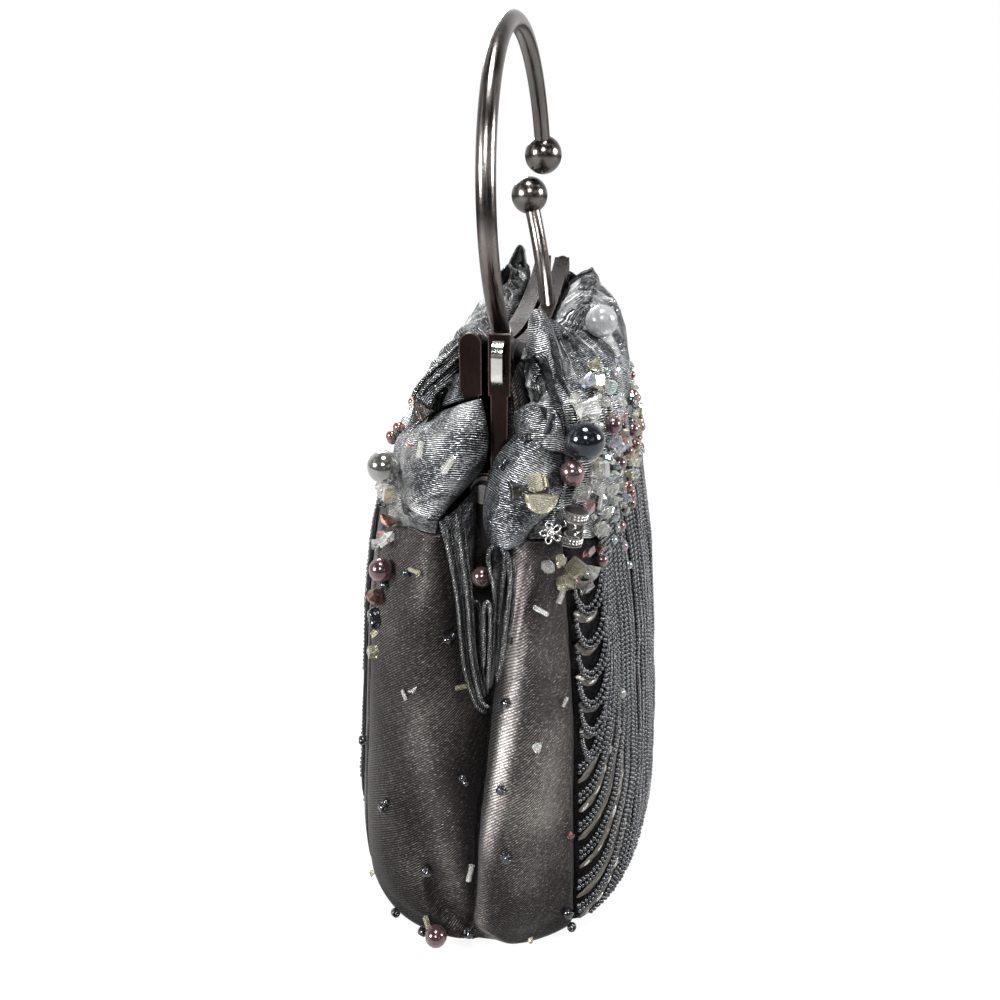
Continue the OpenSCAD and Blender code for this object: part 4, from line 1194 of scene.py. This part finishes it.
def latheShape(profile, sides, bore=False):  # profile of (radius, height), closed with two caps or on itself
    points = [onCircle(j, sides, r, z) for r, z in profile for j in range(sides)]
    faces = ringFaces(len(profile), sides, closed=bore)
    if not bore:
        faces += [tuple(range(sides))[::-1], tuple((len(profile)-1)*sides+j for j in range(sides))]
    return points, faces


def tubeShape(outer, inner, half, sides):  # an open tube with a real bore
    profile = [(outer*0.93, -half), (outer, -half*0.9), (outer, half*0.9), (outer*0.93, half)]
    return latheShape(profile+[(inner, half*0.98), (inner, -half*0.98)], sides, bore=True)


def halfDiscShape(steps=12, thick=0.36):
    outline = []
    for k in range(steps+1):
        outline.append((math.cos(math.pi*k/steps), math.sin(math.pi*k/steps)*1.05-0.4))
    points = []
    for grow, z in ((0.86, -thick), (1.0, -thick*0.5), (1.0, thick*0.5), (0.86, thick)):
        points += [Vector((x*grow, y*grow, z)) for x, y in outline]
    n = steps+1
    return points, ringFaces(4, n)+[tuple(range(n))[::-1], tuple(3*n+k for k in range(n))]


def chipShape(seed):  # a tumbled, irregular crystal chip
    rng = random.Random(seed)
    work = bmesh.new()
    for _ in range(13):
        v = randomWay(rng)
        work.verts.new(Vector((v.x, v.y*rng.uniform(0.65, 0.9), v.z*rng.uniform(0.7, 1.15))))
    result = bmesh.ops.convex_hull(work, input=work.verts)
    loose = [g for g in result["geom_interior"] if isinstance(g, bmesh.types.BMVert)]
    bmesh.ops.delete(work, geom=loose, context="VERTS")
    bmesh.ops.recalc_face_normals(work, faces=work.faces)
    work.verts.index_update()
    points = [v.co.copy() for v in work.verts]
    faces = [tuple(v.index for v in f.verts) for f in work.faces]
    work.free()
    return points, faces


def wireSegment(p, q, side, out):  # a short bar from p to q, four-sided
    points = [end+way for end in (p, q) for way in (side*0.24, out*0.3, side*-0.24, out*-0.2)]
    return points, ringFaces(2, 4)+[(3, 2, 1, 0), (4, 5, 6, 7)]


def filigreeTube():  # a barrel of wire rings, beaded rows and scrolls round a dark core
    parts = [latheShape([(2.2, -4.1), (2.5, -3.9), (2.5, 3.9), (2.2, 4.1)], 28)]
    for z in (-4.0, -2.0, 2.0, 4.0):
        parts.append(latheShape([(2.5, z-0.25), (2.95, z-0.12), (2.95, z+0.12), (2.5, z+0.25)], 28))
    for z in (-3.35, -2.65, 2.65, 3.35):
        parts += [moved(ballShape(5, 6), onCircle(k, 20, 2.72, z), (0.3, 0.3, 0.3)) for k in range(20)]
    for k in range(7):
        wire = []
        for i in range(17):
            t = -1+i/8
            b = 2*math.pi*k/7+0.42*math.sin(t*2.9)
            wire.append(Vector((2.72*math.cos(b), 2.72*math.sin(b), 1.75*t)))
        for p, q in zip(wire, wire[1:]):
            out = Vector((p.x, p.y, 0)).normalized()
            parts.append(wireSegment(p, q, (q-p).cross(out).normalized(), out))
    return joined(parts)


def spacerFlower():  # five wire petals round a small boss
    parts = [moved(ballShape(6, 10), Vector((0, 0, 0.2)), (0.62, 0.62, 0.5))]
    for k in range(5):
        a = 2*math.pi*k/5+0.3
        along, across = Vector((math.cos(a), math.sin(a), 0)), Vector((-math.sin(a), math.cos(a), 0))
        points = []
        for i in range(14):
            b = 2*math.pi*i/14
            p = along*(1.62+math.cos(b))+across*math.sin(b)*0.68
            out = (along*math.cos(b)*0.68+across*math.sin(b)).normalized()
            for j in range(6):
                c = 2*math.pi*j/6
                points.append(p+out*math.cos(c)*0.24+Vector((0, 0, math.sin(c)*0.3)))
        parts.append((points, ringFaces(14, 6, closed=True)))
    return joined(parts)


beadShapes = {
    "ball": (ballShape(), True),
    "seed": (tubeShape(1.0, 0.34, 0.72, 10), True),
    "bugle": (tubeShape(0.5, 0.2, 1.5, 8), False),
    "cube": (latheShape([(0.75, -0.95), (1.12, -0.7), (1.12, 0.7), (0.75, 0.95)], 4), False),
    "rondelle": (latheShape([(0.5, -0.72), (1.0, -0.16), (1.0, 0.16), (0.5, 0.72)], 9), False),
    "halfDisc": (halfDiscShape(), False),
    "chipA": (chipShape(11), False),
    "chipB": (chipShape(23), False),
    "chipC": (chipShape(37), False),
    "tube": (filigreeTube(), False),
    "flower": (spacerFlower(), True),
}
trays = {}  # the beads of one finish on one owner, which become one mesh


def sewBead(owner, finish, shape, centre, size, axis, spin=0.0):
    (points, faces), smooth = beadShapes[shape]
    lean = Vector((0, 0, 1)).rotation_difference(axis.normalized()).to_matrix()
    turn = lean @ Matrix.Rotation(spin, 3, "Z")
    placed = [(centre+turn @ (p*size))*mm for p in points]
    shapes, looks = trays.setdefault((owner, finish), ([], []))
    shapes.append((placed, faces))
    looks.extend([smooth]*len(faces))


clothOwners = {piece.name: "bag" for piece in (nearEnd, farEnd, frontPanel, backPanel)}
clothOwners.update({ruffleFront.name: "front", ruffleBack.name: "back"})
allCloth = [nearEnd, farEnd, frontPanel, backPanel, ruffleFront, ruffleBack]
for foldName, pair in foldPieces.items():
    for piece, owner in zip(pair, foldOwners(foldName)):
        clothOwners[piece.name] = owner.removesuffix("_half")
        allCloth.append(piece)
clothTree, clothFaces = treeOf(allCloth)

# Beads that show, by shape and finish: their places in the photo's pixels and their radii
scattered = [
    ("seed", seedDark, [(406, 573, 1.15), (448, 640, 1.2), (453, 636, 0.9), (363, 740, 1.3), (462, 778, 1.1),
        (466, 783, 0.9), (383, 807, 1.2), (386, 802, 0.9), (427, 872, 1.4), (387, 922, 1.2), (421, 936, 1.2),
        (468, 933, 1.4), (509, 640, 1.0), (506, 703, 1.2), (501, 790, 1.2), (507, 859, 1.2), (503, 856, 0.9),
        (568, 913, 1.5), (578, 933, 1.2), (501, 467, 0.9), (505, 462, 0.8), (526, 438, 0.9), (374, 614, 1.3),
        (375, 622, 1.3), (384, 585, 1.0)]),
    ("bugle", crystalWarm, [(414, 571, 1.2), (462, 687, 1.2), (427, 923, 1.5)]),
    ("chipA", crystalClear, [(412, 689, 1.5), (588, 407, 3.4), (607, 512, 2.3), (592, 572, 2.4),
        (612, 655, 1.5)]),
    ("bugle", crystalClear, [(404, 695, 0.9), (470, 873, 1.5), (541, 611, 1.4), (565, 702, 0.9),
        (448, 465, 1.6), (420, 450, 1.4), (562, 594, 1.4)]),
    ("chipB", crystalWarm, [(368, 875, 1.3), (531, 941, 1.2), (373, 634, 1.2)]),
    ("chipC", crystalClear, [(538, 748, 1.7), (376, 545, 1.7), (575, 402, 2.0), (603, 530, 2.6)]),
    ("seed", crystalClear, [(500, 784, 0.8)]),
    ("chipA", crystalRose, [(569, 835, 1.5), (409, 444, 1.2)]),
    ("bugle", seedDark, [(550, 424, 1.4)]),
    ("chipC", seedDark, [(543, 363, 1.3)]),
    ("halfDisc", crystalWarm, [(541, 502, 3.6)]),
    ("cube", crystalWarm, [(537, 482, 1.9), (390, 495, 1.7), (373, 652, 1.3), (575, 570, 2.3),
        (565, 583, 1.7)]),
    ("cube", crystalClear, [(384, 488, 1.5), (600, 470, 2.1), (582, 493, 1.9), (597, 488, 1.7)]),
    ("chipA", bronzePearl, [(390, 517, 2.3), (598, 546, 2.0)]),
    ("chipB", crystalClear, [(385, 540, 2.4), (602, 400, 2.6)]),
    ("rondelle", bronzePearl, [(376, 597, 2.0)]),
    ("chipB", crystalRose, [(589, 510, 2.6), (590, 552, 2.0)]),
    ("rondelle", crystalClear, [(548, 567, 1.7)]),
    ("chipC", crystalWarm, [(560, 562, 1.8), (600, 385, 2.6)]),
    ("chipB", crystalAurora, [(588, 590, 2.3), (612, 388, 2.6), (621, 362, 2.2)]),
    ("ball", mauvePearl, [(601, 560, 1.6), (613, 425, 2.3)]),
    ("rondelle", crystalAurora, [(615, 440, 1.9), (607, 458, 1.6), (616, 466, 1.4), (619, 447, 2.0)]),
    ("rondelle", crystalRose, [(624, 438, 1.8)]),
    ("chipA", crystalWarm, [(596, 364, 2.4)]),
    ("chipA", crystalAurora, [(587, 380, 2.2)]),
    ("ball", crystalClear, [(620, 693, 1.7), (617, 730, 1.2), (640, 664, 1.2), (612, 302, 1.5)]),
    ("ball", crystalAurora, [(612, 540, 1.5), (622, 546, 1.7), (615, 528, 1.5), (628, 565, 1.3),
        (604, 512, 1.2)]),
]
pearlSpots = [
    (585, 441, darkPearl, 4.7, "front"),
    (384, 467, greyPearl, 4.1, "back"),
    (572, 473, mauvePearl, 3.0, "front"),
    (381, 570, mauvePearl, 3.1, "bag"),
    (482, 577, mauvePearl, 2.6, "bag"),
    (436, 936, mauvePearl, 3.0, "bag"),
]


clothRange = (130.0, 430)  # from the camera to the nearest and farthest cloth


def seatOnRay(px, py, gapWanted):  # first place on the pixel's ray where the bead touches cloth
    start, ray = Vector(cameraPlan["place"]), pixelRay(px, py)
    best, reached = None, clothRange[0]
    while reached < clothRange[1]:
        probe = start+ray*reached
        near, _, index, gap = clothTree.find_nearest(probe)
        if best is None or gap < best[0]:
            best = (gap, probe, near, index)
        if gap <= gapWanted:
            break
        reached += max(gap-gapWanted, 0.12)
    gap, probe, near, index = best
    away = (probe-near).normalized()
    if gap > gapWanted:
        probe = near+away*gapWanted
    return probe, away, index


def sewAtPixel(px, py, shape, finish, size, owner=None, seat=0.75):
    centre, away, index = seatOnRay(px, py, size*seat)
    centre.z = max(centre.z, size+0.3)
    rng = random.Random(px*1009+py)
    tangent = away.cross(randomLean(rng))
    axis = tangent if shape in ("seed", "bugle", "cube", "rondelle") else away
    owner = owner or clothOwners[clothFaces[index].name]
    sewBead(owner, finish, shape, centre, size, axis, rng.uniform(0, 3))


tubeCentre, _, _ = seatOnRay(573, 527, 2.7)
sewBead("front", tubeSilver, "tube", tubeCentre, 1.0, Vector((0.10, -0.16, 1)), 0.3)
flowerCentre, flowerAway, _ = seatOnRay(551, 533, 0.8)
flowerRay = pixelRay(551, 533)
sewBead("front", flowerSilver, "flower", flowerCentre-flowerRay*1.4, 1.0, flowerAway-flowerRay, 0.2)
largerAreas = [(0, 402, 440, 680, 1.25), (520, 612, 370, 610, 1.15)]  # where beads are larger, in pixels
for shape, finish, spots in scattered:
    for px, py, size in spots:
        grown = [share for a, b, c, d, share in largerAreas if a < px < b and c < py < d]
        sewAtPixel(px, py, shape, finish, size*(grown[0] if grown else 1.0))
sparklePlan = {
    "count": 34,
    "across": (594, 627),
    "down": (350, 560, 430),
    "sizes": (0.8, 1.5),
    "kinds": [("ball", crystalAurora), ("rondelle", crystalAurora), ("ball", crystalClear),
              ("rondelle", crystalClear), ("ball", crystalRose), ("chipA", crystalWarm)],
}
sparkle = random.Random(21)
for _ in range(sparklePlan["count"]):
    px, py = sparkle.uniform(*sparklePlan["across"]), sparkle.triangular(*sparklePlan["down"])
    shape, finish = sparkle.choice(sparklePlan["kinds"])
    sewAtPixel(round(px), round(py), shape, finish, sparkle.uniform(*sparklePlan["sizes"]))
for px, py, finish, size, owner in pearlSpots:
    sewAtPixel(px, py, "ball", finish, size, owner, 0.9)


# Clusters of beads along the lower edge of each ruffle
clusterPlan = {
    "count": 150,
    "low": 109,
    "high": 133,
    "front": {"seed": 6, "side": -1, "span": (-58, 66)},
    "back": {"seed": 15, "side": 1, "span": (-66, 58)},
    "kinds": [
        ("chipA", crystalClear, 2.0), ("chipB", crystalClear, 2.3), ("cube", crystalWarm, 1.6),
        ("ball", mauvePearl, 1.9), ("rondelle", crystalAurora, 1.8), ("seed", seedDark, 1.2),
        ("chipC", crystalRose, 1.9), ("seed", seedDark, 1.1), ("ball", bronzePearl, 1.6),
        ("chipB", crystalWarm, 1.7), ("bugle", crystalClear, 1.4), ("seed", seedDark, 1.0),
    ],
}
for plan in (clusterPlan["front"], clusterPlan["back"]):
    rng = random.Random(plan["seed"])
    side = plan["side"]
    for _ in range(clusterPlan["count"]):
        x = rng.uniform(*plan["span"])
        z = clusterPlan["low"]+(clusterPlan["high"]-clusterPlan["low"])*rng.random()**0.9
        hit, normal, index, _ = clothTree.ray_cast(Vector((x, 80*side, z)), Vector((0, -side, 0)), 80)
        if hit is None:
            continue
        if normal.y*side < 0:
            normal = -normal
        shape, finish, size = clusterPlan["kinds"][rng.randrange(len(clusterPlan["kinds"]))]
        size *= rng.uniform(0.75, 1.1)
        axis = normal.cross(randomLean(rng))
        owner = clothOwners[clothFaces[index].name]
        sewBead(owner, finish, shape, hit+normal*size*0.7, size, axis, rng.uniform(0, 3))

# Each tray becomes one piece
trayPieces = {}
for (owner, finish), (shapes, looks) in trays.items():
    name = owner+"_"+finish.name
    mesh = bpy.data.meshes.new(name)
    points, faces = joined(shapes)
    mesh.from_pydata(points, [], faces)
    mesh.polygons.foreach_set("use_smooth", looks)
    turnOut(mesh)
    trayPieces[name] = addObject(name+"_beads", mesh, finish)
print("loose beads sewn", len(trayPieces))

stoodFor = {
    "bag_seedDark": "satin_beads", "front_darkPearl": "front_pearls", "back_greyPearl": "back_pearls",
    "front_crystalClear": "front_crystals", "back_crystalClear": "back_crystals",
}
for name, nodeName in stoodFor.items():
    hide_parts(nodeName)


# What rides on the bag; pieces that go with a half of the frame only get their placement baked in
def carry(piece, owner):
    if owner == "bag":
        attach(piece, "bag")
    else:
        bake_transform(piece)


for name, piece in trayPieces.items():
    label = name.split("_")[0]
    carry(piece, "bag" if label == "bag" else label+"_half")
for piece in (neckFront, ruffleFront, ruffleEdges["front"], loopFar):
    carry(piece, "front_half")
for piece in (neckBack, ruffleBack, ruffleEdges["back"], loopNear):
    carry(piece, "back_half")
for foldName, pair in foldPieces.items():
    for piece, owner in zip(pair, foldOwners(foldName)):
        carry(piece, owner)
carry(tailNear, "bag")
carry(tailFar, "bag")


# Carried-over metal parts get their finishes
carriedFinishes = [
    (gunmetal, ("front_frame", "back_frame")),
    (handlePlating, ("handle_short_arc", "handle_long_arc", "handle_upper_ball", "handle_lower_ball",
                     "handle_collar_front", "handle_collar_back")),
    (silver, ("chain_loop_near", "chain_loop_far")),
    (strapSteel, ("hinge_strap_near", "hinge_strap_far")),
    (washerNylon, ("hinge_washer_near", "hinge_washer_far")),
    (rivetSteel, ("hinge_rivet_near", "hinge_rivet_far")),
    (tubeSilver, ("filigree_bead",)),
    (frosted, ("frosted_bead",)),
    (board, ("base_board",)),
]
for finish, nodeNames in carriedFinishes:
    for nodeName in nodeNames:
        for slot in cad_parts[nodeName].material_slots:
            slot.material = finish


# Floor, backdrop and light
lightPlan = {
    "world": 0.09,
    "glossyDark": 0.03,
    "glossyLight": 0.85,
    "lamps": {
        "key": {"place": (-0.62, 0.75, 0.45), "size": 0.26, "power": 19},
        "front": {"place": (-0.95, -0.10, 0.85), "size": 0.30, "power": 8.0},
        "side": {"place": (0.05, -1.05, 0.50), "size": 0.35, "power": 18.0},
        "top": {"place": (-0.1, 0.0, 1.1), "size": 0.35, "power": 13.0},
        "rim": {"place": (0.75, 0.35, 0.55), "size": 0.4, "power": 5.0},
    },
    "aim": (0, 0, 0.12),
}
floorPlan = {"size": 6, "z": -0.0006, "bounce": 0.30, "white": 0.86, "glowFrom": 0.10, "glowTo": 0.45}


def makeStage():
    size, z = floorPlan["size"], floorPlan["z"]
    mesh = bpy.data.meshes.new("floor")
    corners = [(-size, -size, z), (size, -size, z), (size, size, z), (-size, size, z)]
    mesh.from_pydata(corners, [], [(0, 1, 2, 3)])
    kit = Finish("whiteFloor")
    seen = kit.add("ShaderNodeLightPath").outputs["Is Camera Ray"]
    colour = kit.spread(seen, 0, 1, floorPlan["bounce"], floorPlan["white"])
    kit.fill(kit.shader, {"Base Color": colour, "Roughness": 0.9})
    glow = kit.add("ShaderNodeEmission", {"Color": (1, 1, 1, 1)})
    away = kit.add("ShaderNodeVectorMath", {0: kit.body()}, operation="LENGTH").outputs["Value"]
    share = kit.spread(away, floorPlan["glowFrom"], floorPlan["glowTo"], floorPlan["white"], 1.0)
    mixer = kit.add("ShaderNodeMixShader", {
        "Fac": kit.maths("MULTIPLY", seen, share), 1: kit.shader.outputs[0], 2: glow.outputs[0]})
    kit.fill(kit.tree.nodes["Material Output"], {"Surface": mixer.outputs[0]})
    addObject("floor", mesh, kit.material)


def makeWorld():
    world = bpy.data.worlds.new("studio")
    scene.world = world
    world.use_nodes = True
    kit = NodeKit(world.node_tree)
    path = kit.add("ShaderNodeLightPath").outputs
    bent = kit.maths("MAXIMUM", path["Is Glossy Ray"], path["Is Transmission Ray"])
    # what shines in metal and glass: a bright backdrop behind the bag, a dark room with windows on this side
    around = kit.add("ShaderNodeTexCoord").outputs["Generated"]
    ahead = kit.vectors("DOT_PRODUCT", around, cameraAxes()[0]).outputs["Value"]
    behind = kit.spread(ahead, -0.1, 0.75, lightPlan["glossyDark"], lightPlan["glossyLight"])
    window = kit.spread(kit.cloudy(around, 2.1, rough=0.5), 0.58, 0.66, 0, 1.3)
    spark = kit.spread(kit.cloudy(around, 3.4, rough=0.5), 0.50, 0.58, 0, 1.9)
    window = kit.maths("MAXIMUM", window, kit.maths("MULTIPLY", spark, path["Is Transmission Ray"]))
    shine = kit.maths("MULTIPLY", bent, kit.maths("MAXIMUM", behind, window))
    plain = kit.maths("MULTIPLY", kit.maths("SUBTRACT", 1, bent), lightPlan["world"])
    strength = kit.maths("MAXIMUM", path["Is Camera Ray"], kit.maths("ADD", shine, plain))
    kit.fill(kit.tree.nodes["Background"], {"Color": (1, 1, 1, 1), "Strength": strength})


def makeLamp(name, plan):
    data = bpy.data.lights.new(name, "AREA")
    data.shape = "DISK"
    data.size = plan["size"]
    data.energy = plan["power"]
    lamp = bpy.data.objects.new(name, data)
    place = Vector(plan["place"])
    turn = (Vector(lightPlan["aim"])-place).to_track_quat("-Z", "Y").to_matrix().to_4x4()
    lamp.matrix_world = Matrix.Translation(place) @ turn
    scene.collection.objects.link(lamp)


makeStage()
makeWorld()
for lampName, lampPlan in lightPlan["lamps"].items():
    makeLamp(lampName, lampPlan)
scene.view_settings.view_transform = "Standard"
print("lit")
